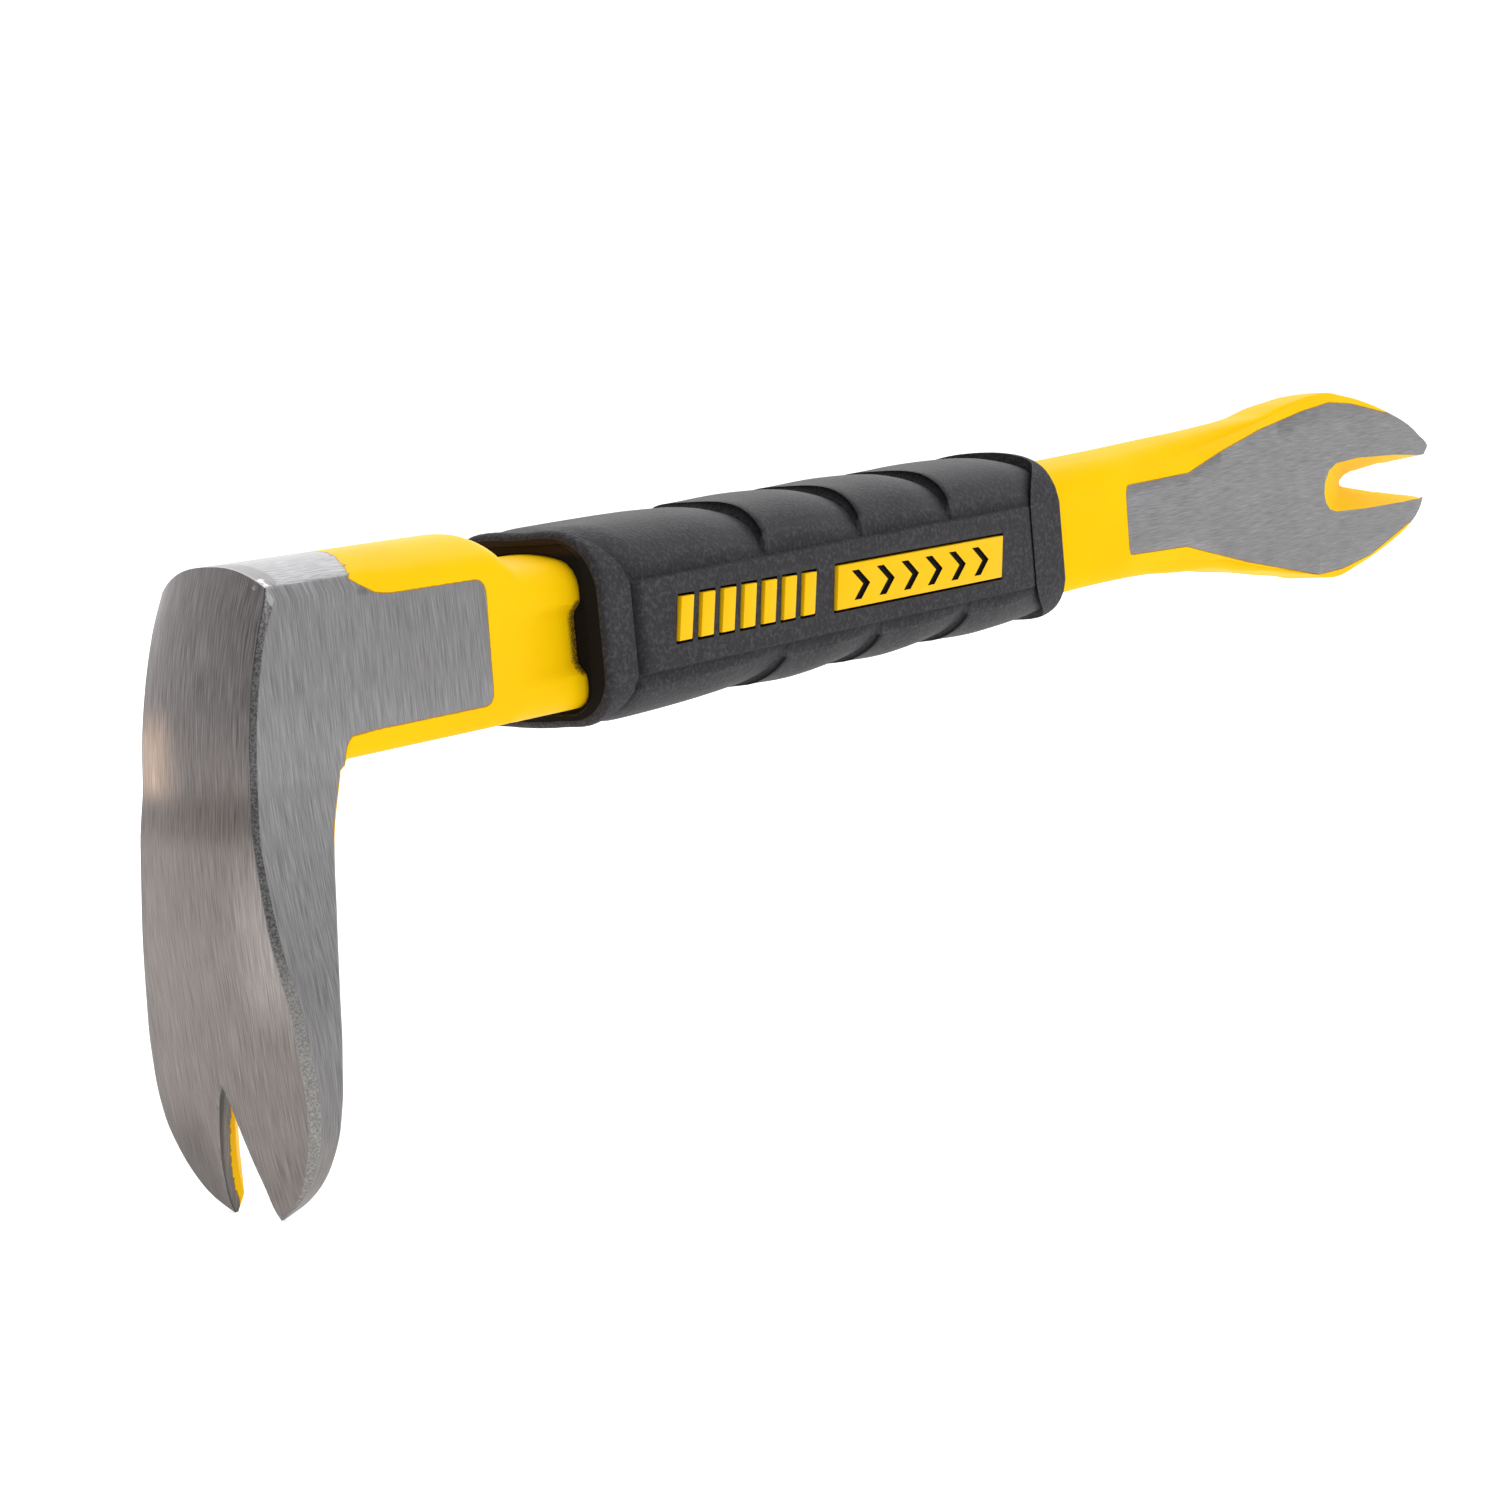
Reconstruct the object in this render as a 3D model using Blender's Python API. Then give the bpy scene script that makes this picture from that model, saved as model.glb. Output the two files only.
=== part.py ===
"""Claw bar: a one-piece forged steel bar in a two-shot moulded grip.

The leg at the -X end ends in a wide nail claw that points down. The fork claw at the +X end
lies in the plane of the leg. Metres, +Z up. The origin is under the middle of the tool, at
the height of the leg's tips.
"""

import math

import bmesh
import bpy
from mathutils import Vector

MM = 0.001
GAP = 0.3  # clearance kept between pieces that touch, in millimetres

# Driving dimensions, in millimetres
NOSE_X = -128.3  # the foremost point of the leg's curved front
FORK_X = 126.7  # the tip of the fork claw's upper prong
CENTRE_X = (NOSE_X + FORK_X) / 2  # the X values here are moved so that this comes to 0
BAR_TOP = 60.6  # upper edges of the bar above the leg's tips
BAR_BOTTOM = 43.5
HEAD_HALF_WIDTH = 8.2
HEAD_CROWN = 2.8  # rise of the rounded top face at its middle
HEEL_X = -121.4  # top front corner
THROAT_X = -114.4  # back of the leg just under the bar
THROAT_RADIUS = 0.9

GRIP_NEAR_X = -80.0
GRIP_FAR_X = 6.0
GRIP_MID_Z = 52.1
GRIP_RISE = 0.4  # the grip's ends lie this far under and over its middle height
GRIP_HALF_WIDTH = 12.0
GRIP_HALF_HEIGHT = 11.05
PANEL_HALF_HEIGHT = 4.8
PANEL_DROP = 0.7  # how far the middle of the flat side panels lies under the grip's middle
SCALE_PITCH = 18.1
SCALE_FIRST_X = -74.3  # leading edge of the first scale
SCALE_COUNT = 4
SCALE_DEPTH = 0.9
SCALE_BOW = 3.6  # how far a leading edge reaches forward at its middle
STEP_RUN = 0.5  # length of the slope up to a leading edge
RIM_ROUND = 0.8
# The sleeve's crown from the top middle to the panel, as shares of its half width and height
SLEEVE_CROWN = [
    (0.0, 1.0),
    (0.2, 0.995),
    (0.4, 0.975),
    (0.58, 0.94),
    (0.72, 0.885),
    (0.83, 0.81),
    (0.91, 0.71),
    (0.965, 0.6),
]

SEAT_NEAR_X = -76.8  # the bar is slimmer from here to SEAT_FAR_X, inside the grip
SEAT_FAR_X = 2.8
SEAT_HALF_WIDTH = 7.4
SEAT_HALF_HEIGHT = 7.0
SEAT_WAIST = 1.0
CORE_NEAR_X = -75.5
CORE_FAR_X = 1.5
CORE_WALL = 1.5
CORE_WALL_TOP = 1.2
CORE_CORNER = 2.6
NEAR_BAR_MID_Z = 51.75  # middle of the full bar section at each end of the grip
FAR_BAR_MID_Z = 52.55
MOUTH_DEPTH = 2.4
MOUTH_GAP = 0.8

MARK_FACE = GRIP_HALF_WIDTH + 0.3  # outer face of the raised marks, from the middle plane
MARK_MID_Z = 51.4
BAR_MARK_X = -68.4
BAR_MARK_COUNT = 7
BAR_MARK_PITCH = 3.55
BAR_MARK_WIDTH = 2.1
BAR_MARK_HEIGHT = 4.7
BAR_MARK_SLANT = 0.5
BLOCK_MARK_X = (-41.0, -8.2)
BLOCK_MARK_HEIGHT = 5.0

# Leg stations from the tips up: height, setback of the front edge from the nose,
# back face, half width, and bulge of the front face at its middle
LEG = [
    (0.0, 3.3, -124.5, 3.7, 0.1),
    (1.7, 2.8, -123.7, 6.4, 0.3),
    (3.7, 2.55, -123.3, 8.4, 0.5),
    (5.7, 2.3, -123.1, 9.8, 0.7),
    (9.6, 1.95, -122.8, 11.4, 0.9),
    (13.5, 1.75, -122.4, 11.9, 1.0),
    (17.4, 1.55, -121.8, 11.8, 1.0),
    (21.4, 1.4, -121.0, 11.3, 1.0),
    (29.2, 1.0, -119.0, 9.9, 1.0),
    (37.1, 1.2, -117.1, 8.8, 1.0),
    (42.2, 1.9, -115.2, 8.35, 0.9),
]
HEEL_LEG = [(47.0, 2.5, 8.3), (52.0, 3.6, 8.25), (56.7, 5.1, 8.2)]

# Bar stations from the head to the fork: X, lower edge, upper edge, half width,
# crown of the upper face, rounding of the edges, and depth of the side recess
SHANK = [
    (-110.0, 43.5, 60.6, 8.2, 2.8, 0.9, 0.0),
    (-92.0, 43.5, 60.6, 8.2, 2.8, 0.9, 0.0),
    (-90.6, 43.5, 60.4, 8.2, 2.7, 1.1, 0.1),
    (-89.4, 43.4, 59.7, 8.2, 2.3, 1.6, 0.2),
    (-88.3, 43.3, 58.9, 8.2, 1.8, 2.1, 0.32),
    (-87.0, 43.3, 58.5, 8.2, 1.5, 2.2, 0.48),
    (-84.0, 43.3, 58.4, 8.2, 1.5, 2.2, 0.85),
    (-77.2, 43.3, 58.4, 8.2, 1.5, 2.2, 1.3),
]
FORK = [
    (3.2, 44.1, 59.4, 7.6, 1.6, 2.2, 0.6),
    (12.0, 44.3, 59.5, 7.5, 1.6, 2.2, 0.3),
    (24.0, 44.5, 59.9, 7.2, 1.5, 2.0, 0.0),
    (34.0, 44.3, 60.3, 6.9, 1.4, 1.7, 0.0),
    (45.0, 43.5, 61.0, 6.4, 1.1, 1.4, 0.0),
    (55.0, 42.9, 61.7, 5.7, 0.7, 1.2, 0.0),
    (62.0, 41.75, 62.2, 5.2, 0.5, 0.9, 0.0),
    (71.0, 40.6, 62.9, 4.6, 0.3, 0.45, 0.0),
    (77.5, 39.5, 64.0, 4.2, 0.2, 0.4, 0.0),
    (83.5, 38.6, 64.6, 3.8, 0.1, 0.25, 0.0),
    (87.0, 37.85, 64.9, 3.6, 0.1, 0.4, 0.0),
    (91.0, 37.55, 65.0, 3.3, 0.1, 0.5, 0.0),
    (98.5, 38.45, 64.0, 2.8, 0.0, 0.5, 0.0),
    (106.0, 39.7, 62.4, 2.3, 0.0, 0.5, 0.0),
    (114.0, 41.5, 60.2, 1.7, 0.0, 0.4, 0.0),
    (119.0, 43.1, 58.5, 1.3, 0.0, 0.3, 0.0),
    (122.2, 44.8, 57.1, 1.0, 0.0, 0.3, 0.0),
    (124.0, 46.6, 56.1, 0.8, 0.0, 0.25, 0.0),
    (125.8, 48.4, 55.2, 0.7, 0.0, 0.2, 0.0),
    (126.7, 49.6, 54.4, 0.6, 0.0, 0.2, 0.0),
]

# Notches: the slit is the narrow side, the sink is the wide side that a nail's head enters
LEG_SLIT_TOP = 13.6
LEG_SLIT_HALF_WIDTH = 3.4
LEG_SINK_TOP = 24.0
LEG_SINK_HALF_WIDTH = 3.9
LEG_LAND = 1.5  # depth of the slit's straight walls behind the leg's front
FORK_NOTCH_Z = 50.3
FORK_SLIT_X = 103.0
FORK_SLIT_HALF_WIDTH = 3.2
FORK_SINK_X = 87.5
FORK_SINK_HALF_WIDTH = 3.7

# Colour, roughness and metallic value
COATING = ((0.93, 0.62, 0.02, 1.0), 0.35, 0.0)
CORE_PLASTIC = ((0.93, 0.62, 0.02, 1.0), 0.45, 0.0)
SLEEVE_RUBBER = ((0.045, 0.047, 0.055, 1.0), 0.7, 0.0)


def clear_scene():
    for obj in list(bpy.data.objects):
        bpy.data.objects.remove(obj, do_unlink=True)


def new_collection(name):
    collection = bpy.data.collections.new(name)
    bpy.context.scene.collection.children.link(collection)
    return collection


def make_material(name, look):
    colour, roughness, metallic = look
    material = bpy.data.materials.new(name)
    material.use_nodes = True
    shader = material.node_tree.nodes["Principled BSDF"]
    shader.inputs["Base Color"].default_value = colour
    shader.inputs["Roughness"].default_value = roughness
    shader.inputs["Metallic"].default_value = metallic
    return material


def mix(a, b, t):
    return a + (b - a) * t


def ease(t):
    """0 to 1 with level ends."""
    t = min(max(t, 0.0), 1.0)
    return t * t * (3.0 - 2.0 * t)


def edge_rounding(radius, steps=3):
    """(across, along) distances from a sharp corner, round a quarter circle."""
    turns = [math.pi / 2 * i / steps for i in range(steps + 1)]
    return [(radius * (1 - math.sin(a)), radius * (1 - math.cos(a))) for a in turns]


def bar_section(inner, outer, lift, half_width, round_outer, round_inner, waist, grow=0.0):
    """One closed ring of the bar.

    inner and outer are the (x, z) ends of the section in the middle plane, at the height of
    its edges. lift is the (x, z) rise of the outer face at its middle, in a smooth crown.
    grow moves the ring outwards all round.
    """
    depth = math.dist(inner, outer)
    towards = ((outer[0] - inner[0]) / depth, (outer[1] - inner[1]) / depth)
    width = half_width + grow
    half = [((width - round_outer) * i / 6, depth + grow) for i in range(6)]
    for across, along in edge_rounding(round_outer):
        half.append((width - across, depth + grow - along))
    straight = depth - round_outer - round_inner
    for i in range(1, 6):
        t = i / 6
        dip = waist * ease(2.4 - abs(t - 0.5) * 6.4)
        half.append((width - dip, round_inner + straight * (1 - t)))
    for across, along in reversed(edge_rounding(round_inner)):
        half.append((width - across, along - grow))
    for i in range(1, 4):
        half.append(((width - round_inner) * (1 - i / 4), -grow))
    ring = half + [(0.0, -grow)] + [(-y, s) for y, s in reversed(half[1:])]
    points = []
    for y, s in ring:
        x = inner[0] + towards[0] * s
        z = inner[1] + towards[1] * s
        if s > depth / 2:
            rise = 1.0 - (y / width) ** 2
            x += lift[0] * rise
            z += lift[1] * rise
        points.append((x, y, z))
    return points


def leg_rings():
    rings = []
    for z, setback, back, half_width, bulge in LEG:
        front = NOSE_X + setback
        edge = min(0.5, 0.3 * (back - front))
        rings.append(
            bar_section((back, z), (front, z), (-bulge, 0.0), half_width, edge, edge, 0.0)
        )
    return rings


def heel_rings():
    """Sections that turn round the throat, from the top of the leg to the head."""
    centre = (THROAT_X + THROAT_RADIUS, BAR_BOTTOM - THROAT_RADIUS)
    fronts = [((NOSE_X + setback, z), w) for z, setback, w in HEEL_LEG]
    fronts.append(((HEEL_X, BAR_TOP), HEAD_HALF_WIDTH))
    tops = [((mix(HEEL_X, SHANK[0][0], t), BAR_TOP), HEAD_HALF_WIDTH) for t in (0.3, 0.65)]
    stops = fronts + tops
    rings = []
    for i, (outer, half_width) in enumerate(stops):
        angle = math.pi / 2 * (i + 1) / (len(stops) + 1)
        inner = (
            centre[0] - THROAT_RADIUS * math.cos(angle),
            centre[1] + THROAT_RADIUS * math.sin(angle),
        )
        up_front = min(1.0, (i + 1) / len(fronts))
        along_top = max(0.0, (i + 1 - len(fronts)) / (len(tops) + 1))
        lift = (-0.7 * (1 - along_top), HEAD_CROWN * up_front)
        rings.append(bar_section(inner, outer, lift, half_width, 0.8, 1.0, 0.0))
    return rings


def bar_rings(stations):
    rings = []
    for x, low, high, half_width, crown, edge, waist in stations:
        rings.append(
            bar_section((x, low), (x, high), (0.0, crown), half_width, edge, edge, waist)
        )
    return rings


def seat_section(x, grow=0.0):
    low = GRIP_MID_Z - SEAT_HALF_HEIGHT
    high = GRIP_MID_Z + SEAT_HALF_HEIGHT
    return bar_section(
        (x, low), (x, high), (0.0, 0.0), SEAT_HALF_WIDTH, 1.6, 1.6, SEAT_WAIST, grow
    )


def skin(bm, rings, flip=False):
    """Quads between neighbouring rings. Returns the rings' vertices."""
    centre = Vector((CENTRE_X, 0.0, 0.0))
    loops = [[bm.verts.new((Vector(p) - centre) * MM) for p in ring] for ring in rings]
    for first, second in zip(loops, loops[1:]):
        count = len(first)
        for i in range(count):
            j = (i + 1) % count
            quad = (first[i], first[j], second[j], second[i])
            bm.faces.new(tuple(reversed(quad)) if flip else quad)
    return loops


def solid_loft(name, rings):
    bm = bmesh.new()
    loops = skin(bm, rings)
    bm.faces.new(tuple(reversed(loops[0])))
    bm.faces.new(loops[-1])
    return finish_mesh(name, bm)


def tube_loft(name, outside, inside):
    """A closed tube: both skins and a flat ring at each end. All rings have one count."""
    bm = bmesh.new()
    outer = skin(bm, outside)
    inner = skin(bm, inside, flip=True)
    for ring_a, ring_b in ((outer[0], inner[0]), (inner[-1], outer[-1])):
        count = len(ring_a)
        for i in range(count):
            j = (i + 1) % count
            bm.faces.new((ring_a[j], ring_a[i], ring_b[i], ring_b[j]))
    return finish_mesh(name, bm)


def finish_mesh(name, bm):
    bmesh.ops.recalc_face_normals(bm, faces=bm.faces)
    if bm.calc_volume(signed=True) < 0:
        bmesh.ops.reverse_faces(bm, faces=bm.faces)
    mesh = bpy.data.meshes.new(name)
    bm.to_mesh(mesh)
    bm.free()
    mesh.shade_smooth()
    mesh.set_sharp_from_angle(angle=math.radians(30))
    return bpy.data.objects.new(name, mesh)


def add_part(obj, collection, material):
    obj.data.materials.append(material)
    collection.objects.link(obj)
    return obj


def add_cutter(obj, collection):
    obj.hide_render = True
    obj.display_type = "WIRE"
    collection.objects.link(obj)
    return obj


def boolean(obj, operation, other):
    modifier = obj.modifiers.new(other.name, "BOOLEAN")
    modifier.operation = operation
    modifier.solver = "EXACT"
    modifier.object = other


def u_outline(apex, tip, end, half_width, tip_half_width):
    """A round-ended slot from past the tip to its apex and back, as (along, across) points."""
    centre = apex + math.copysign(half_width, tip - apex)
    side = [(end, tip_half_width), (tip, tip_half_width), (mix(centre, tip, 0.5), half_width)]
    for i in range(6):
        a = math.pi / 2 * i / 5
        side.append((mix(centre, apex, math.sin(a)), half_width * math.cos(a)))
    return side + [(along, -across) for along, across in reversed(side[:-1])]


def v_outline(apex, tip, end, tip_half_width, power):
    """A pointed slit with as many points as u_outline. A power under 1 rounds its sides."""
    side = [(end, tip_half_width), (tip, tip_half_width)]
    for t in (0.62, 0.4, 0.25, 0.13, 0.06, 0.02, 0.0):
        side.append((mix(apex, tip, t), tip_half_width * t**power))
    return side + [(along, -across) for along, across in reversed(side[:-1])]


def fork_face(x):
    """Half thickness of the fork claw at x."""
    for (x0, *_, w0, _, _, _), (x1, *_, w1, _, _, _) in zip(FORK, FORK[1:]):
        if x0 <= x <= x1:
            return mix(w0, w1, (x - x0) / (x1 - x0))
    return FORK[-1][3]


def leg_faces(z):
    """X of the front middle and of the back of the leg at a height."""
    z = max(z, 0.0)
    for low, high in zip(LEG, LEG[1:]):
        if low[0] <= z <= high[0]:
            t = (z - low[0]) / (high[0] - low[0])
            values = [mix(a, b, t) for a, b in zip(low, high)]
            return NOSE_X + values[1] - values[4], values[2]
    return NOSE_X + LEG[-1][1], LEG[-1][2]


def ruled_cutter(name, outlines):
    """A cutter ruled through the outlines, and run past the first and the last."""
    past_first = []
    past_last = []
    for first, second, before, last in zip(outlines[0], outlines[1], outlines[-2], outlines[-1]):
        out = Vector(first) - Vector(second)
        past_first.append(Vector(first) + out.normalized() * 0.5)
        on = Vector(last) - Vector(before)
        past_last.append(Vector(last) + on.normalized() * 0.8)
    bm = bmesh.new()
    loops = skin(bm, [past_first] + outlines[1:-1] + [past_last])
    for loop in (loops[0], loops[-1]):
        cap_with_strips(bm, loop)
    return finish_mesh(name, bm)


def cap_with_strips(bm, loop):
    """Closes a ring that is mirrored about its middle with quads straight across it."""
    last = len(loop) - 1
    for i in range(last // 2):
        corners = [loop[i], loop[i + 1], loop[last - i - 1], loop[last - i]]
        bm.faces.new(list(dict.fromkeys(corners)))


def fork_notch():
    end = FORK_X + 3.0
    slit = v_outline(FORK_SLIT_X, FORK_X, end, FORK_SLIT_HALF_WIDTH, power=0.5)
    sink = u_outline(FORK_SINK_X, FORK_X, end, FORK_SINK_HALF_WIDTH, FORK_SLIT_HALF_WIDTH)
    narrow = [(x, fork_face(x), FORK_NOTCH_Z + across) for x, across in slit]
    wide = [(x, -fork_face(x), FORK_NOTCH_Z + across) for x, across in sink]
    return ruled_cutter("fork_notch", [narrow, wide])


def leg_notch():
    slit = v_outline(LEG_SLIT_TOP, 0.0, -3.0, LEG_SLIT_HALF_WIDTH, power=0.7)
    sink = u_outline(LEG_SINK_TOP, 0.0, -3.0, LEG_SINK_HALF_WIDTH, LEG_SLIT_HALF_WIDTH)
    narrow = [(leg_faces(z)[0], across, z) for z, across in slit]
    land = []
    for z, across in slit:
        front, back = leg_faces(z)
        land.append((front + min(LEG_LAND, 0.6 * (back - front)), across, z))
    wide = [(leg_faces(z)[1], across, z) for z, across in sink]
    return ruled_cutter("leg_notch", [narrow, land, wide])


def build_steel_bar(parts, cutters, material):
    rings = leg_rings() + heel_rings() + bar_rings(SHANK)
    rings += [seat_section(SEAT_NEAR_X), seat_section(SEAT_FAR_X)]
    rings += bar_rings(FORK)
    bar = add_part(solid_loft("steel_bar", rings), parts, material)
    boolean(bar, "DIFFERENCE", add_cutter(fork_notch(), cutters))
    boolean(bar, "DIFFERENCE", add_cutter(leg_notch(), cutters))
    return bar


def mark_solids(prefix, grow, inner_y, outer_y, side):
    """The raised marks on one side: a row of slanted bars and a long block."""
    solids = []
    half = BAR_MARK_HEIGHT / 2 + grow
    shapes = []
    for i in range(BAR_MARK_COUNT):
        left = BAR_MARK_X + i * BAR_MARK_PITCH - grow
        right = left + BAR_MARK_WIDTH + 2 * grow
        shapes.append((left, right, half, BAR_MARK_SLANT))
    left, right = BLOCK_MARK_X
    shapes.append((left - grow, right + grow, BLOCK_MARK_HEIGHT / 2 + grow, BAR_MARK_SLANT))
    for i, (left, right, half, slant) in enumerate(shapes):
        corners = [(left - slant, -half), (right - slant, -half), (right + slant, half)]
        corners.append((left + slant, half))
        rings = []
        for y in (inner_y, outer_y):
            rings.append([(x, side * y, MARK_MID_Z + z) for x, z in corners])
        solids.append(solid_loft(f"{prefix}_{i}", rings))
    return solids


def join_solids(name, solids):
    """One object that holds solids which don't touch each other."""
    bm = bmesh.new()
    for obj in solids:
        bm.from_mesh(obj.data)
        mesh = obj.data
        bpy.data.objects.remove(obj)
        bpy.data.meshes.remove(mesh)
    return finish_mesh(name, bm)


def rounded_ring(x, half_width, half_height, corner, mid_z=GRIP_MID_Z):
    """A rounded rectangle across the tool, with as many points as sleeve_section."""
    quarter = [((half_width - corner) * i / 3, half_height) for i in range(3)]
    for across, along in edge_rounding(corner, steps=4):
        quarter.append((half_width - across, half_height - along))
    quarter += [(half_width, (half_height - corner) * (1 - i / 3)) for i in range(1, 3)]
    return [(x, y, mid_z + z) for y, z in ring_of_quarter(quarter, half_width)]


def ring_of_quarter(quarter, half_width):
    """A closed ring, mirrored both ways from the points between top middle and side middle."""
    side = quarter + [(half_width, 0.0)] + [(y, -z) for y, z in reversed(quarter)]
    return side + [(-y, z) for y, z in reversed(side[1:-1])]


def build_grip_core(parts, cutters, material):
    half_width = SEAT_HALF_WIDTH + GAP + CORE_WALL
    half_height = SEAT_HALF_HEIGHT + GAP + CORE_WALL_TOP
    ends = (CORE_NEAR_X, CORE_FAR_X)
    mid_low = GRIP_MID_Z - half_height
    mid_high = GRIP_MID_Z + half_height
    outside = []
    for x in ends:
        low = (x, mid_low)
        high = (x, mid_high)
        corner = CORE_CORNER
        outside.append(bar_section(low, high, (0.0, 0.0), half_width, corner, corner, 0.0))
    inside = [seat_section(x, grow=GAP) for x in ends]
    core = add_part(tube_loft("grip_core", outside, inside), parts, material)
    marks = []
    for side, label in ((-1, "near"), (1, "far")):
        marks += mark_solids(f"mark_{label}", 0.0, half_width - 0.7, MARK_FACE, side)
    boolean(core, "UNION", add_cutter(join_solids("core_marks", marks), cutters))
    return core


def scale_dip(past):
    """How far the scaled faces lie under the rims, at a distance past the first scale's edge."""
    return SCALE_DEPTH * (past / SCALE_PITCH) ** 1.2


def sleeve_section(x, dip=0.0, bow=0.0, shrink=0.0):
    """One outer ring of the sleeve: flat side panels, and a crowned top and bottom.

    bow carries the sides back from the middle, so that the scales' edges are U-shaped.
    """
    t = (x - GRIP_NEAR_X) / (GRIP_FAR_X - GRIP_NEAR_X)
    half_width = GRIP_HALF_WIDTH - shrink
    half_height = GRIP_HALF_HEIGHT - shrink
    mid_z = GRIP_MID_Z + mix(-GRIP_RISE, GRIP_RISE, t)
    quarter = []
    for across, up in SLEEVE_CROWN:
        y = half_width * across - dip * across * up * 0.8
        z = (half_height - dip) * up
        quarter.append((y, z))
    quarter.append((half_width, PANEL_HALF_HEIGHT))
    quarter.append((half_width, PANEL_HALF_HEIGHT / 2))
    ring = []
    for y, z in ring_of_quarter(quarter, half_width):
        drop = PANEL_DROP * (1.0 - (z / half_height) ** 2)
        ring.append((x + bow * (y / GRIP_HALF_WIDTH) ** 2, y, mid_z + z - drop))
    return ring


def rim_rings(end_x, inward):
    """The rounded end of the sleeve, from the end face to the full section."""
    rings = []
    for across, along in edge_rounding(RIM_ROUND):
        rings.append(sleeve_section(end_x + inward * along, shrink=across))
    return rings


def sleeve_outside():
    rings = rim_rings(GRIP_NEAR_X, 1)
    rings.append(sleeve_section(SCALE_FIRST_X - STEP_RUN - 0.1))
    rings.append(sleeve_section(SCALE_FIRST_X - STEP_RUN, dip=0.5 * SCALE_DEPTH))
    for i in range(SCALE_COUNT):
        edge = SCALE_FIRST_X + i * SCALE_PITCH
        bow = SCALE_BOW if i else 0.0
        next_bow = SCALE_BOW if i < SCALE_COUNT - 1 else 0.0
        for past in (0.0, 0.25, 0.5, 0.75, 1.0):
            x = edge + past * (SCALE_PITCH - STEP_RUN)
            rings.append(
                sleeve_section(x, scale_dip(past * SCALE_PITCH), mix(bow, next_bow, past))
            )
    rings.append(sleeve_section(SCALE_FIRST_X + SCALE_COUNT * SCALE_PITCH))
    return rings + list(reversed(rim_rings(GRIP_FAR_X, -1)))


def sleeve_bore():
    """The stepped bore: mouth, near lip, seat for the core, and far lip."""
    mouth = (HEAD_HALF_WIDTH + MOUTH_GAP, 8.15 + MOUTH_GAP, 3.6, NEAR_BAR_MID_Z)
    near_lip = (HEAD_HALF_WIDTH + GAP, 8.15 + GAP, 2.5, NEAR_BAR_MID_Z)
    core_wide = SEAT_HALF_WIDTH + CORE_WALL + 2 * GAP
    core_high = SEAT_HALF_HEIGHT + CORE_WALL_TOP + 2 * GAP
    seat = (core_wide, core_high, CORE_CORNER + GAP, GRIP_MID_Z)
    far_lip = (7.6 + GAP, 8.45 + GAP, 2.5, FAR_BAR_MID_Z)
    step = 0.05
    stops = [GRIP_NEAR_X, GRIP_NEAR_X + MOUTH_DEPTH, CORE_NEAR_X - GAP, CORE_FAR_X + GAP]
    stops.append(GRIP_FAR_X)
    rings = []
    for section, start, end in zip((mouth, near_lip, seat, far_lip), stops, stops[1:]):
        rings.append(rounded_ring(start + (step if start > GRIP_NEAR_X else 0.0), *section))
        rings.append(rounded_ring(end, *section))
    return rings


def build_grip_sleeve(parts, cutters, material):
    sleeve = tube_loft("grip_sleeve", sleeve_outside(), sleeve_bore())
    add_part(sleeve, parts, material)
    windows = []
    for side, label in ((-1, "near"), (1, "far")):
        windows += mark_solids(f"window_{label}", GAP, SEAT_HALF_WIDTH + 1.0, 14.0, side)
    boolean(sleeve, "DIFFERENCE", add_cutter(join_solids("sleeve_windows", windows), cutters))
    return sleeve


def build_all():
    clear_scene()
    parts = new_collection("claw_bar")
    cutters = new_collection("cutters")
    build_steel_bar(parts, cutters, make_material("coated_steel", COATING))
    build_grip_core(parts, cutters, make_material("core_plastic", CORE_PLASTIC))
    build_grip_sleeve(parts, cutters, make_material("sleeve_rubber", SLEEVE_RUBBER))


build_all()
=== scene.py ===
"""Visual model of a claw bar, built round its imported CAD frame.

Sizes are in millimetres until a mesh is made. +X runs to the fork claw and +Z away from the
leg claw's tips.
"""

import math

import bmesh
import bpy
import numpy as np
from mathutils import Matrix, Vector


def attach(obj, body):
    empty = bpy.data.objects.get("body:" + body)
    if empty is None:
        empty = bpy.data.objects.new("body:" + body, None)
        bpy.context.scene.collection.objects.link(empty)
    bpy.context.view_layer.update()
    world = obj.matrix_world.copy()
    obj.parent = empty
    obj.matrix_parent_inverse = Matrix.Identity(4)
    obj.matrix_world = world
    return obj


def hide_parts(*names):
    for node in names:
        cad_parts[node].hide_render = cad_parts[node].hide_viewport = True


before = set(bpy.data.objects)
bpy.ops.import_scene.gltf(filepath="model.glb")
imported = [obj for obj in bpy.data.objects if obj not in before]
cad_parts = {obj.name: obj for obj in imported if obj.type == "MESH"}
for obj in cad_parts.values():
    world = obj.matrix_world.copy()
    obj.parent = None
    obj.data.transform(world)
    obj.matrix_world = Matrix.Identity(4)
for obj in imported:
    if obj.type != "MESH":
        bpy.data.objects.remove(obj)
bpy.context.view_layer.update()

MM = 0.001

# Bar
NOSE_X = -128.3
FORK_X = 126.7
CENTRE_X = (NOSE_X + FORK_X) / 2  # the X values here are moved so that this comes to 0
BAR_TOP = 60.6
BAR_BOTTOM = 43.5
HEAD_HALF_WIDTH = 8.2
HEAD_CROWN = 2.8
CROWN_POWER = 2.6  # over 2 flattens the head's crown towards its middle
HEEL_X = -121.4
THROAT_X = -114.4
THROAT_RADIUS = 0.9
HEAD_START_X = -110.0
LEG_TOP = 42.2
SEAT = (-76.8, 2.8, 7.4, 7.0)  # ends, half width and half height of the hidden grip seat
SEAT_ROUNDING = 1.6
SEAT_RECESS = 1.0
HEEL_BULGE = (0.9, 0.7)  # of the front, from the leg to the top
HEEL_TURN = 0.57  # share of the quarter turn of the throat that the heel's front takes up
HEEL_BEVEL = (0.35, 0.8)  # from the leg to the head
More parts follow.
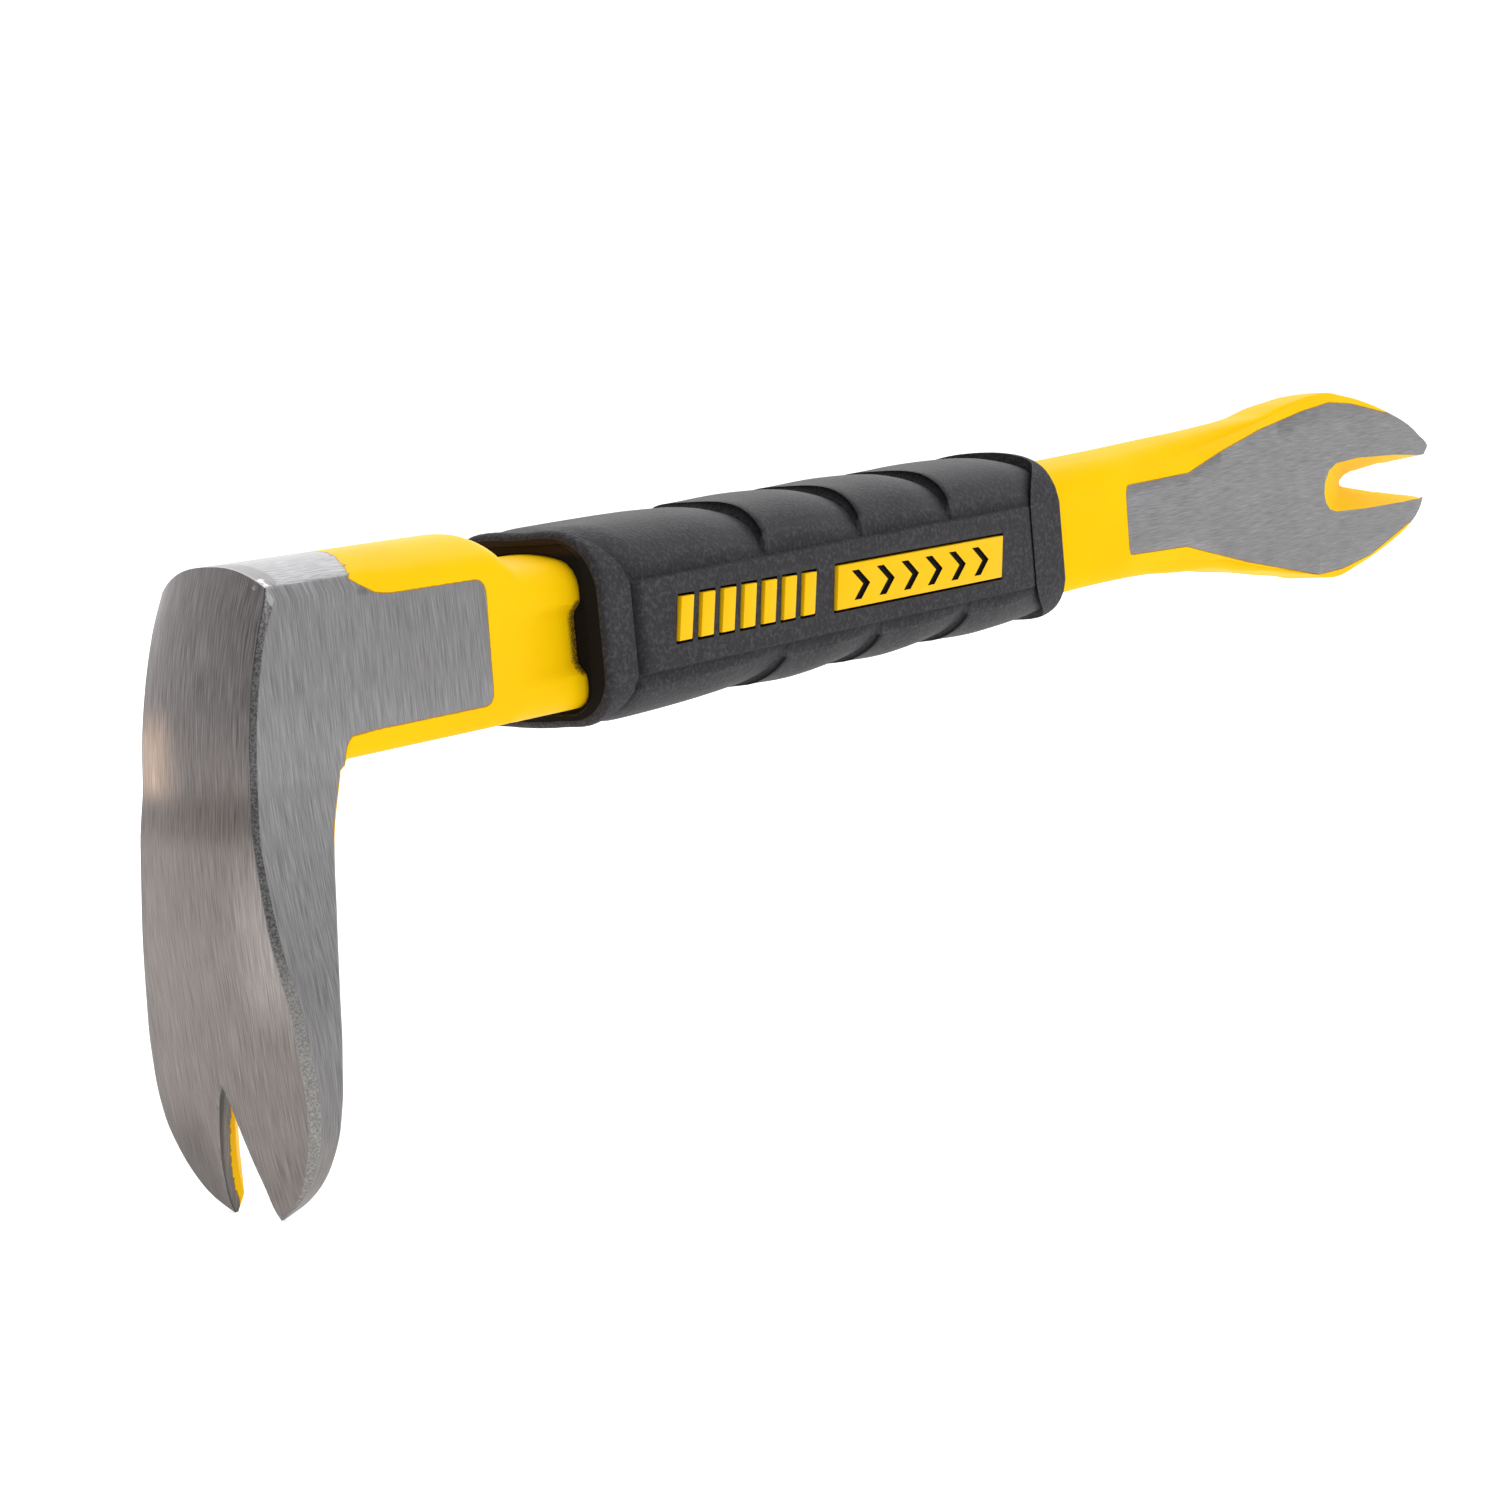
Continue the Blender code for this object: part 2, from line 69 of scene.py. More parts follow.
HEEL_ROUNDING = (0.5, 0.9)  # of the inner edges, from the leg to the head
LEG_BACK_STEP = 0.8  # how far the throat starts behind the leg's back
CROWN_FADE = (-95.0, 8.0)  # where the head's flattened crown turns into a plain one, and over what
RECESS_SHAPE = (2.4, 6.4)  # how much of a side its recess takes up, and how steep its flanks are
SHOULDER_POWER = 1.4
RING_STEP = 0.7
HEAD_BEVEL_FADE = 4.0  # length over which the head's bevels become round
INSIDE = 0.001  # keeps the last ring inside the frame's box

# Leg by height: setback of the front edge from the nose, back face, half width, front bulge,
# and width of the bevel along the front edge
LEG = [
    (0.0, 3.3, -124.6, 3.55, 0.1, 0.1),
    (0.8, 3.0, -124.2, 4.9, 0.2, 0.15),
    (1.7, 2.8, -123.75, 6.3, 0.3, 0.2),
    (3.7, 2.55, -123.3, 8.4, 0.5, 0.4),
    (5.7, 2.3, -123.1, 9.8, 0.7, 0.6),
    (9.6, 1.95, -122.8, 11.4, 0.9, 0.7),
    (13.5, 1.75, -122.4, 11.9, 1.0, 0.75),
    (17.4, 1.55, -121.8, 11.8, 1.0, 0.75),
    (21.4, 1.4, -121.0, 11.3, 1.0, 0.65),
    (29.2, 1.0, -119.0, 9.9, 1.0, 0.5),
    (37.1, 1.2, -117.1, 8.8, 1.0, 0.35),
    (42.2, 1.9, -115.2, 8.35, 0.9, 0.35),
]
# From the leg up to the heel: setback of the front edge and half width
HEEL_FRONT = [
    (42.2, 1.9, 8.35), (47.0, 2.5, 8.3), (52.0, 3.6, 8.25), (56.7, 5.1, 8.2), (60.6, 6.9, 8.2),
]

# Bar by X: lower edge, upper edge, half width, crown, edge rounding, side recess
SHANK = [
    (-110.0, 43.5, 60.6, 8.2, 2.8, 0.9, 0.0),
    (-92.0, 43.5, 60.6, 8.2, 2.8, 0.9, 0.0),
    (-90.6, 43.5, 60.4, 8.2, 2.7, 1.1, 0.1),
    (-89.4, 43.4, 59.7, 8.2, 2.3, 1.6, 0.2),
    (-88.3, 43.3, 58.9, 8.2, 1.8, 2.1, 0.32),
    (-87.0, 43.3, 58.5, 8.2, 1.5, 2.2, 0.48),
    (-84.0, 43.3, 58.4, 8.2, 1.5, 2.2, 0.85),
    (-77.2, 43.3, 58.4, 8.2, 1.5, 2.2, 1.3),
]
FORK = [
    (3.2, 44.1, 59.4, 7.6, 1.6, 2.2, 0.6),
    (12.0, 44.3, 59.5, 7.5, 1.6, 2.2, 0.3),
    (24.0, 44.5, 59.9, 7.2, 1.5, 2.0, 0.0),
    (34.0, 44.3, 60.3, 6.9, 1.4, 1.7, 0.0),
    (45.0, 43.5, 61.0, 6.4, 1.1, 1.4, 0.0),
    (55.0, 42.9, 61.7, 5.7, 0.7, 1.2, 0.0),
    (62.0, 41.75, 62.2, 5.2, 0.5, 0.9, 0.0),
    (71.0, 40.6, 62.9, 4.6, 0.3, 0.45, 0.0),
    (77.5, 39.5, 64.0, 4.2, 0.2, 0.4, 0.0),
    (83.5, 38.6, 64.6, 3.8, 0.1, 0.25, 0.0),
    (87.0, 37.85, 64.9, 3.6, 0.1, 0.4, 0.0),
    (91.0, 37.55, 65.0, 3.3, 0.1, 0.5, 0.0),
    (98.5, 38.45, 64.0, 2.8, 0.0, 0.5, 0.0),
    (106.0, 39.7, 62.4, 2.3, 0.0, 0.5, 0.0),
    (114.0, 41.5, 60.2, 1.7, 0.0, 0.4, 0.0),
    (119.0, 43.1, 58.5, 1.3, 0.0, 0.3, 0.0),
    (122.2, 44.8, 57.1, 1.0, 0.0, 0.3, 0.0),
    (124.0, 46.6, 56.1, 0.8, 0.0, 0.25, 0.0),
    (125.8, 48.4, 55.2, 0.7, 0.0, 0.2, 0.0),
    (126.7, 49.6, 54.4, 0.6, 0.0, 0.2, 0.0),
]
# Fork by X: height of the ground facet's lower and upper edges, and how far the bar's lower
# and upper edges lie inside the facet
SHOULDERS = [
    (3.2, 47.6, 56.6, 0.0, 0.0),
    (24.0, 47.7, 56.7, 0.0, 0.0),
    (34.0, 47.6, 56.8, 0.7, 0.9),
    (45.0, 47.1, 57.0, 1.1, 1.5),
    (55.0, 44.6, 59.0, 0.9, 1.6),
    (62.0, 43.0, 60.2, 0.6, 1.5),
    (71.0, 41.1, 61.6, 0.4, 1.2),
    (83.5, 38.9, 62.9, 0.2, 0.8),
    (91.0, 38.7, 63.5, 0.15, 0.5),
    (98.5, 39.3, 62.9, 0.1, 0.3),
    (106.0, 40.6, 61.5, 0.1, 0.1),
    (127.0, 49.0, 53.6, 0.0, 0.0),
]

# Outlines of the bare ground areas: (X, Z, corner radius)
HEAD_GROUND = [
    (-132.0, -6.0, 0.0), (-132.0, 72.0, 0.0), (-111.6, 72.0, 0.0), (-111.6, 61.2, 0.5),
    (-110.4, 60.3, 1.2), (-108.4, 59.1, 3.0), (-106.2, 58.8, 2.0), (-93.1, 58.7, 1.5),
    (-93.6, 45.9, 1.3), (-113.6, 45.95, 2.0), (-114.7, 43.6, 0.8), (-111.0, 41.0, 0.0),
    (-111.0, -6.0, 0.0),
]
FORK_GROUND = [
    (28.3, 47.7, 0.6), (28.5, 56.8, 0.7), (45.6, 57.0, 3.0), (55.0, 59.0, 0.0), (68.0, 61.2, 0.0),
    (81.3, 62.8, 6.0), (91.0, 63.5, 8.0), (98.6, 62.8, 8.0), (111.0, 60.6, 4.0), (117.0, 60.4, 0.0),
    (117.0, 70.0, 0.0), (136.0, 70.0, 0.0), (136.0, 32.0, 0.0), (118.0, 32.0, 0.0),
    (118.0, 43.2, 0.0), (102.3, 39.7, 6.0), (92.3, 38.7, 8.0), (84.0, 38.7, 6.0), (61.9, 43.0, 0.0),
    (43.6, 47.2, 3.0),
]

# Notches
LEG_SLIT = [(13.6, 0.0), (12.9, 0.45), (11.0, 1.05), (7.4, 2.05), (3.2, 3.0), (0.0, 3.4), (-3.0, 3.8)]
LEG_SLIT_HEIGHTS = (-3.0, 0.0, 1.5, 3.0, 4.5, 6.0, 7.5, 9.0, 10.5, 11.7, 12.6, 13.2, 13.6)
LEG_LAND = 2.0  # depth of the slit's straight walls behind the front
LEG_SINK_TOP = 24.0  # the countersink behind the slit reaches this high
LEG_SINK_FLARE = 0.95  # and widens by this much for each millimetre of depth
LEG_SINK_MIN = 0.3
CUT_PAST = 1.0  # how far the leg's cutter reaches past the faces
FORK_CUT_PAST = 0.6
FORK_FRONT = [
    (130.0, 57.5), (126.3, 54.1), (124.9, 53.1), (112.8, 54.0), (99.8, 54.6), (92.4, 54.4), (89.8, 53.6),
    (88.1, 52.0), (87.5, 50.4), (87.9, 48.9), (89.1, 47.8), (91.2, 47.3), (101.1, 46.8),
    (114.2, 46.5), (120.0, 46.45), (123.2, 46.5), (130.0, 46.5),
]
FORK_REAR = [
    (130.0, 57.4), (126.4, 54.0), (124.9, 53.0), (114.1, 52.7), (106.6, 52.2), (105.0, 51.9), (104.0, 51.5),
    (103.3, 51.1), (103.1, 50.7), (103.3, 50.3), (104.0, 50.0), (105.2, 49.8), (109.0, 49.1),
    (113.6, 48.3), (120.0, 47.3), (126.2, 46.3), (130.0, 45.7),
]

# Grip
GRIP_NEAR_X = -80.0
GRIP_FAR_X = 6.0
GRIP_MID_Z = 52.1
GRIP_RISE = 0.4
GRIP_HALF_WIDTH = 12.0
GRIP_HALF_HEIGHT = 11.05
PANEL_HALF_HEIGHT = 4.8
PANEL_DROP = 0.7
PANEL_LEDGE = 0.34  # how far the panels stand proud
PANEL_GROOVE = 0.4  # depth of the rims' creases at the panels
GROOVE_RUN = (1.6, 0.8)  # their width, at the near and far end
CREASES = (-78.9, -51.8, -34.2, -16.6, 4.4)  # X at the top middle
RIM_SWEEP = (3.3, 5.6)  # how far the rims' creases sweep inwards down to the panels
RIM_SWEEP_START = 0.72  # where they start to, by the share of the half width
SCALE_BOW = (-1.0, 5.5)  # how far the scales' creases reach along, at the near and far side
SCALE_TAIL = (0.85, 1.1)  # dip of a scale's end at the top middle and at the corners
SCALE_FRONT = (0.25, 0.05)
LOW_TAIL = (0.1, 0.95)
LOW_FRONT = (0.75, 0.3)
TOP_BLEND = (0.0, 0.62)  # where the dips pass from the middle's to the corners', by width
LOW_BLEND = (0.3, 0.42)
LOW_SHIFT = -3.4  # the creases start this much earlier on the underside
LOW_BOW = 5.2  # and reach this much further along at the sides
TOP_POWERS = (6.0, 5.0)  # how late the scales' ends dip
LOW_POWERS = (6.0, 2.6)
RIM_FRONT = (0.6, 0.85)
LOW_FLAT = 0.5  # the underside is flatter than the top
NEAR_FLAT = (26.0, 0.5)  # and so is the top's near end: over this length, by this much
RIM_RUN = 4.0
FRONT_RUN = 8.0  # length over which a scale's front dip fades
STEP_RUN = 0.35
CREASE_SHADE_RUN = (2.0, 1.2)  # how far the painted shade of a crease reaches, at the rim and at the scales
RIM_ROUND = 0.8
SLEEVE_CROWN = [
    (0.0, 1.0), (0.2, 0.995), (0.4, 0.975), (0.58, 0.94), (0.72, 0.885), (0.83, 0.81),
    (0.91, 0.71), (0.965, 0.6),
]
GAP = 0.3  # between touching pieces
CORE = (-75.5, 1.5, 9.2, 8.5)  # ends, half width and half height of the core
CORE_CORNER = 2.6
SEAT_CORNER = 1.9
# The sleeve's openings: half width, half height and corner radius, and height of their middle
LIP = (9.3, 9.2, 3.6)
MOUTH = (9.0, 8.95, 3.6)
MOUTH_DEPTH = (0.5, 2.4)  # where the lip ends and where the mouth does
NECK = (8.5, 8.45, 2.5)
CORE_BORE = (CORE[2] + GAP, CORE[3] + GAP, 2.9)
FAR_BORE = (7.9, 8.75, 2.5)
NEAR_MID_Z = 51.75
FAR_MID_Z = 52.55
BORE_STEP = 0.05
# The collar in the mouth, dark with painted shade: its ends past the sleeve's, outer size and gap to the
# bar
COLLAR_X = (0.45, 2.3)
COLLAR = (8.98, 8.93, 3.55)
COLLAR_GAP = 0.12
MARK_FACE = 12.299
MARK_ROOT = 0.7  # depth of the marks' roots in the core
MARK_BEVEL = 0.12
WINDOW_Y = (8.4, 14.0)  # reach of the cutters for the sleeve's windows
MARK_MID_Z = 51.4
BAR_MARK_X = -68.4
BAR_MARK_COUNT = 7
BAR_MARK_PITCH = 3.55
BAR_MARK_WIDTH = 2.1
BAR_MARK_HEIGHT = 4.7
MARK_SLANT = 0.5
BLOCK_X = (-41.0, -8.2)
BLOCK_HEIGHT = 5.0
CHEVRON_X = -38.2
CHEVRON_COUNT = 6
CHEVRON_PITCH = 4.75
CHEVRON_DEPTH = 1.9
CHEVRON_STROKE = 1.35
CHEVRON_HALF_HEIGHT = 1.7
CHEVRON_SINK = 0.35


def mix(a, b, t):
    return a + (b - a) * t


def ease(t):
    t = min(max(t, 0.0), 1.0)
    return t * t * (3.0 - 2.0 * t)


def curve(xs, ys):
    """A smooth function through points that never overshoots them."""
    xs = np.array(xs, float)
    ys = np.array(ys, float)
    h = np.diff(xs)
    d = np.diff(ys) / h
    m = np.concatenate([[d[0]], np.zeros(len(xs) - 2), [d[-1]]])
    for i in range(1, len(xs) - 1):
        if d[i - 1] * d[i] > 0:
            a = 2 * h[i] + h[i - 1]
            b = h[i] + 2 * h[i - 1]
            m[i] = (a + b) / (a / d[i - 1] + b / d[i])

    def at(x):
        x = min(max(x, xs[0]), xs[-1])
        i = min(int(np.searchsorted(xs, x, side="right")) - 1, len(xs) - 2)
        t = (x - xs[i]) / h[i]
        return (
            (2 * t**3 - 3 * t**2 + 1) * ys[i]
            + (t**3 - 2 * t**2 + t) * h[i] * m[i]
            + (3 * t**2 - 2 * t**3) * ys[i + 1]
            + (t**3 - t**2) * h[i] * m[i + 1]
        )

    return at


def columns(rows):
    """One smooth function for each column of a table, by its first column."""
    xs = [r[0] for r in rows]
    return [curve(xs, [r[k] for r in rows]) for k in range(1, len(rows[0]))]


OUTLINE_STEPS = 6


def rounded_outline(corners):
    """A closed outline with its corners rounded, from (x, z, radius) corners."""
    points = []
    count = len(corners)
    for i, (x, z, radius) in enumerate(corners):
        here = Vector((x, z))
        if radius == 0.0:
            points.append(here)
            continue
        before = Vector(corners[i - 1][:2]) - here
        after = Vector(corners[(i + 1) % count][:2]) - here
        half = before.angle(after) / 2
        cut = min(radius / math.tan(half), 0.45 * before.length, 0.45 * after.length)
        start = here + before.normalized() * cut
        end = here + after.normalized() * cut
        for k in range(OUTLINE_STEPS + 1):
            t = k / OUTLINE_STEPS
            points.append(start * (1 - t) ** 2 + here * 2 * t * (1 - t) + end * t * t)
    return np.array([tuple(p) for p in points])


def inside_distance(outline, points):
    """Distance from each (x, z) point to the outline, positive inside it."""
    best = np.full(len(points), 1e9)
    inside = np.zeros(len(points), bool)
    for a, b in zip(outline, np.roll(outline, -1, axis=0)):
        edge = b - a
        length = edge @ edge
        if length == 0.0:
            continue
        t = np.clip(((points - a) @ edge) / length, 0.0, 1.0)
        gap = np.linalg.norm(points - (a + t[:, None] * edge), axis=1)
        best = np.minimum(best, gap)
        crosses = (a[1] > points[:, 1]) != (b[1] > points[:, 1])
        if a[1] != b[1]:
            at = a[0] + (points[:, 1] - a[1]) / (b[1] - a[1]) * edge[0]
            inside ^= crosses & (points[:, 0] < at)
    return np.where(inside, best, -best)


# The bar's half ring, from the middle of its outer face to the middle of its inner face
CROWN_STEPS = 12
EDGE_STEPS = 4
SIDE_STEPS = 20
LOW_STEPS = 6
HEEL_UP_STEPS = 20
HEEL_BACK_STEPS = 14
CROWN_END = CROWN_STEPS
EDGE_END = CROWN_END + EDGE_STEPS
SIDE_END = EDGE_END + SIDE_STEPS
LOW_EDGE_END = SIDE_END + EDGE_STEPS
HALF_COUNT = LOW_EDGE_END + LOW_STEPS


def corner_points(size, flat):
    """(across, along) distances from a sharp corner, round an arc or along a flat bevel."""
    points = []
    for i in range(EDGE_STEPS + 1):
        a = math.pi / 2 * i / EDGE_STEPS
        arc = (size * (1 - math.sin(a)), size * (1 - math.cos(a)))
        t = i / EDGE_STEPS
        bevel = (size * (1 - t), size * t)
        points.append((mix(arc[0], bevel[0], flat), mix(arc[1], bevel[1], flat)))
    return points


def bar_ring(
    inner, outer, lift, width, edge, low_edge, flat=0.0, waist=0.0, shoulders=None, power=2.0
):
    """One closed ring of the bar, like bar_section in the CAD but finer."""
    depth = math.dist(inner, outer)
    towards = ((outer[0] - inner[0]) / depth, (outer[1] - inner[1]) / depth)
    low_s, high_s, low_inset, high_inset = shoulders or (0.0, depth, 0.0, 0.0)
    top = width - high_inset
    low = width - low_inset
    half = [((top - edge) * i / CROWN_STEPS, depth) for i in range(CROWN_STEPS)]
    half += [(top - across, depth - along) for across, along in corner_points(edge, flat)]
    s_top = depth - edge
    s_low = low_edge
    for i in range(1, SIDE_STEPS):
        t = i / SIDE_STEPS
        s = mix(s_top, s_low, t)
        if shoulders:
            # 0.3 of the points for each shoulder and 0.4 for the flat between them
            if t <= 0.3:
                s = mix(s_top, high_s, t / 0.3)
            elif t >= 0.7:
                s = mix(low_s, s_low, (t - 0.7) / 0.3)
            else:
                s = mix(high_s, low_s, (t - 0.3) / 0.4)
        off_middle = abs((s - s_low) / (s_top - s_low) - 0.5)
        y = width - waist * ease(RECESS_SHAPE[0] - off_middle * RECESS_SHAPE[1])
        if s > high_s:
            y -= high_inset * ((s - high_s) / (s_top - high_s)) ** SHOULDER_POWER
        if s < low_s:
            y -= low_inset * ((low_s - s) / (low_s - s_low)) ** SHOULDER_POWER
        half.append((y, s))
    half += [(low - across, along) for across, along in reversed(corner_points(low_edge, 0.0))]
    half += [((low - low_edge) * (1 - i / LOW_STEPS), 0.0) for i in range(1, LOW_STEPS + 1)]
    points = []
    for i, (y, s) in enumerate(half):
        x = inner[0] + towards[0] * s
        z = inner[1] + towards[1] * s
        if i <= EDGE_END:
            rise = 1.0 - (y / top) ** power
            x += lift[0] * rise
            z += lift[1] * rise
        points.append((x, y, z))
    return points + [(x, -y, z) for x, y, z in reversed(points[1:-1])]


def leg_front(z):
    """X of the front edge of the leg and the heel at a height."""
    if z <= LEG_TOP:
        return NOSE_X + LEG_AT[0](z)
    return NOSE_X + HEEL_AT[0](z)


LEG_AT = columns(LEG)
HEEL_AT = columns(HEEL_FRONT)
SHANK_AT = columns(SHANK)
FORK_AT = columns(FORK)
SHOULDER_AT = columns(SHOULDERS)


def leg_ring(z):
    front = leg_front(z)
    back, width, bulge, bevel = [f(z) for f in LEG_AT[1:]]
    low_edge = min(0.5, 0.3 * (back - front))
    bevel = min(bevel, 0.45 * (back - front))
    return bar_ring((back, z), (front, z), (-bulge, 0.0), width, bevel, low_edge, flat=1.0)


def heel_ring(outer, turn, width, lift):
    angle = math.pi / 2 * turn
    step = LEG_BACK_STEP * (1.0 - min(1.0, turn * 4))
    inner = (
        THROAT_X + THROAT_RADIUS * (1 - math.cos(angle)) - step,
        BAR_BOTTOM - THROAT_RADIUS * (1 - math.sin(angle)),
    )
    power = mix(2.0, CROWN_POWER, min(1.0, turn * 2))
    bevel = mix(*HEEL_BEVEL, ease((turn - 0.5) * 8))
    low_edge = mix(*HEEL_ROUNDING, turn)
    return bar_ring(inner, outer, lift, width, bevel, low_edge, flat=1.0, power=power)


def heel_rings():
    """Up the front from the leg, then back over the top to the head."""
    rings = []
    for k in range(1, HEEL_UP_STEPS + 1):
        t = k / HEEL_UP_STEPS
        z = mix(LEG_TOP, BAR_TOP, t)
        lift = (-mix(*HEEL_BULGE, t), HEAD_CROWN * t)
        rings.append(heel_ring((leg_front(z), z), HEEL_TURN * t, HEEL_AT[1](z), lift))
    for k in range(1, HEEL_BACK_STEPS):
        t = k / HEEL_BACK_STEPS
        x = mix(HEEL_X, HEAD_START_X, t)
        lift = (-HEEL_BULGE[1] * (1 - t), HEAD_CROWN)
        rings.append(heel_ring((x, BAR_TOP), mix(HEEL_TURN, 1.0, t), HEAD_HALF_WIDTH, lift))
    return rings


def straight_ring(x, at, shoulders=None, flat=0.0):
    low, high, width, crown, edge, waist = [f(x) for f in at]
    if shoulders:
        low_z, high_z, low_inset, high_inset = [f(x) for f in shoulders]
        shoulders = (low_z - low, high_z - low, low_inset, high_inset)
    power = mix(CROWN_POWER, 2.0, ease((x - CROWN_FADE[0]) / CROWN_FADE[1]))
    return bar_ring(
        (x, low), (x, high), (0.0, crown), width, edge, edge, flat, waist, shoulders, power
    )


def seat_ring(x):
    low = GRIP_MID_Z - SEAT[3]
    high = GRIP_MID_Z + SEAT[3]
    edge = SEAT_ROUNDING
    return bar_ring((x, low), (x, high), (0.0, 0.0), SEAT[2], edge, edge, waist=SEAT_RECESS)


def spaced(start, end, step):
    count = max(1, round(abs(end - start) / step))
    return [mix(start, end, i / count) for i in range(count + 1)]


def bridge(bm, first, second, flip=False, material=0):
    """Faces between two rings of as many vertices."""
    count = len(first)
    for i in range(count):
        j = (i + 1) % count
        quad = (first[i], first[j], second[j], second[i])
        face = bm.faces.new(tuple(reversed(quad)) if flip else quad)
        face.material_index = material


def skin(bm, rings, flip=False, material=0):
    """A surface through rings of points. Returns its rings of vertices."""
    centre = Vector((CENTRE_X, 0.0, 0.0))
    loops = [[bm.verts.new((Vector(p) - centre) * MM) for p in ring] for ring in rings]
    for first, second in zip(loops, loops[1:]):
        bridge(bm, first, second, flip, material)
    return loops


def tube(bm, outside, inside, material=0, end_material=0):
    """A closed tube from the rings of its outer and inner faces."""
    outer = skin(bm, outside, material=material)
    inner = skin(bm, inside, flip=True, material=material)
    bridge(bm, inner[0], outer[0], material=end_material)
    bridge(bm, outer[-1], inner[-1], material=end_material)


def cap(bm, loop, paired=0):
    """Closes a mirrored ring with quads straight across it.

    paired is 0 if the first point lies on the mirror line, and 1 if the last one is its mirror
    image.
    """
    count = len(loop)
    for i in range(count // 2):
        j = count - paired - i
        corners = (loop[i], loop[i + 1], loop[j - 1], loop[j % count])
        bm.faces.new(list(dict.fromkeys(corners)))


def finish_mesh(name, bm):
    bmesh.ops.recalc_face_normals(bm, faces=bm.faces)
    if bm.calc_volume(signed=True) < 0:
        bmesh.ops.reverse_faces(bm, faces=bm.faces)
    mesh = bpy.data.meshes.new(name)
    bm.to_mesh(mesh)
    bm.free()
    return bpy.data.objects.new(name, mesh)


def link(obj, *materials):
    for material in materials:
        obj.data.materials.append(material)
    bpy.context.scene.collection.objects.link(obj)
    return obj


def set_attribute(obj, name, values):
    """Gives the vertices these values, or all of them one value."""
    attribute = obj.data.attributes.new(name, "FLOAT", "POINT")
    values = np.broadcast_to(np.asarray(values, np.float32), len(obj.data.vertices))
    attribute.data.foreach_set("value", np.ascontiguousarray(values))


def cut_with(obj, cutter, material, operation="DIFFERENCE"):
    """Applies a Boolean whose new faces have this material."""
    link(cutter, material)
    modifier = obj.modifiers.new("cut", "BOOLEAN")
    modifier.operation = operation
    modifier.solver = "EXACT"
    modifier.material_mode = "TRANSFER"
    modifier.object = cutter
    apply_modifiers(obj)
    mesh = cutter.data
    bpy.data.objects.remove(cutter)
    bpy.data.meshes.remove(mesh)


def apply_modifiers(obj):
    depsgraph = bpy.context.evaluated_depsgraph_get()
    mesh = bpy.data.meshes.new_from_object(
        obj.evaluated_get(depsgraph), preserve_all_data_layers=True, depsgraph=depsgraph
    )
    old = obj.data
    obj.modifiers.clear()
    obj.data = mesh
    name = old.name
    bpy.data.meshes.remove(old)
    mesh.name = name


def sharpen(obj, angle):
    """Smooth shading, apart from edges over this angle in degrees."""
    obj.data.shade_smooth()
    obj.data.set_sharp_from_angle(angle=math.radians(angle))


# Materials

YELLOW = (0.81, 0.495, 0.001)
YELLOW_DEEP = (0.80, 0.435, 0.001)
EDGE_BROWN = (0.36, 0.17, 0.012)
# Painted shade on the bar where it enters the grip's mouth
MOUTH_SHADE = (0.05, 0.03, 0.008)
STEEL_SIDE = (0.248, 0.244, 0.249)
STEEL_FRONT = (0.250, 0.222, 0.210)  # the leg's broad front is browner than its sides
STEEL_HEEL = (0.305, 0.283, 0.285)
# Painted reflections on the leg's front, pale and beige
STEEL_REFLECTION_PALE = (0.36, 0.33, 0.31)
STEEL_REFLECTION_BEIGE = (0.56, 0.43, 0.35)
# A worn chip at the head's corner, painted as a bright glint
STEEL_CHIP_GLINT = (0.6, 0.6, 0.61)
CHIP_AT = (-121.1, -2.6, 61.2)
CHIP_STRETCH = (1.0, 0.45, 1.0)
BRUSH = 7.0  # scale of the brushing across its lines
BRUSH_RUN = 0.24  # and along them
WALL_DARK = (0.02, 0.018, 0.016)
WALL_FRONT = (-127.25, 2.15, -0.2)  # X of the leg's front edge: a + b * e^(c * z)
WALL_BARE = 1.0  # depth of the bare strip of the leg slit's walls
FORGED_DARK = ((0.075, 0.073, 0.075), (0.19, 0.187, 0.19))  # pits and peaks
FORGED_PALE = ((0.17, 0.167, 0.16), (0.30, 0.29, 0.28))
RUBBER = ((0.0095, 0.0088, 0.0118), (0.015, 0.0138, 0.0172))
RUBBER_SPECK = (0.052, 0.051, 0.057)
# Painted shade in the sleeve's creases
RUBBER_CREASE_SHADE = (0.002, 0.002, 0.0025)
# Painted shade in the mouth, on the sleeve's ends and in the windows
RECESS_SHADE = (0.008, 0.0072, 0.007)
RECESS_SHADE_BROWN = (0.03, 0.018, 0.011)
FLOOR = ((0.59, 0.59, 0.59), (0.61, 0.61, 0.61))
FLOOR_GLOW = 0.68


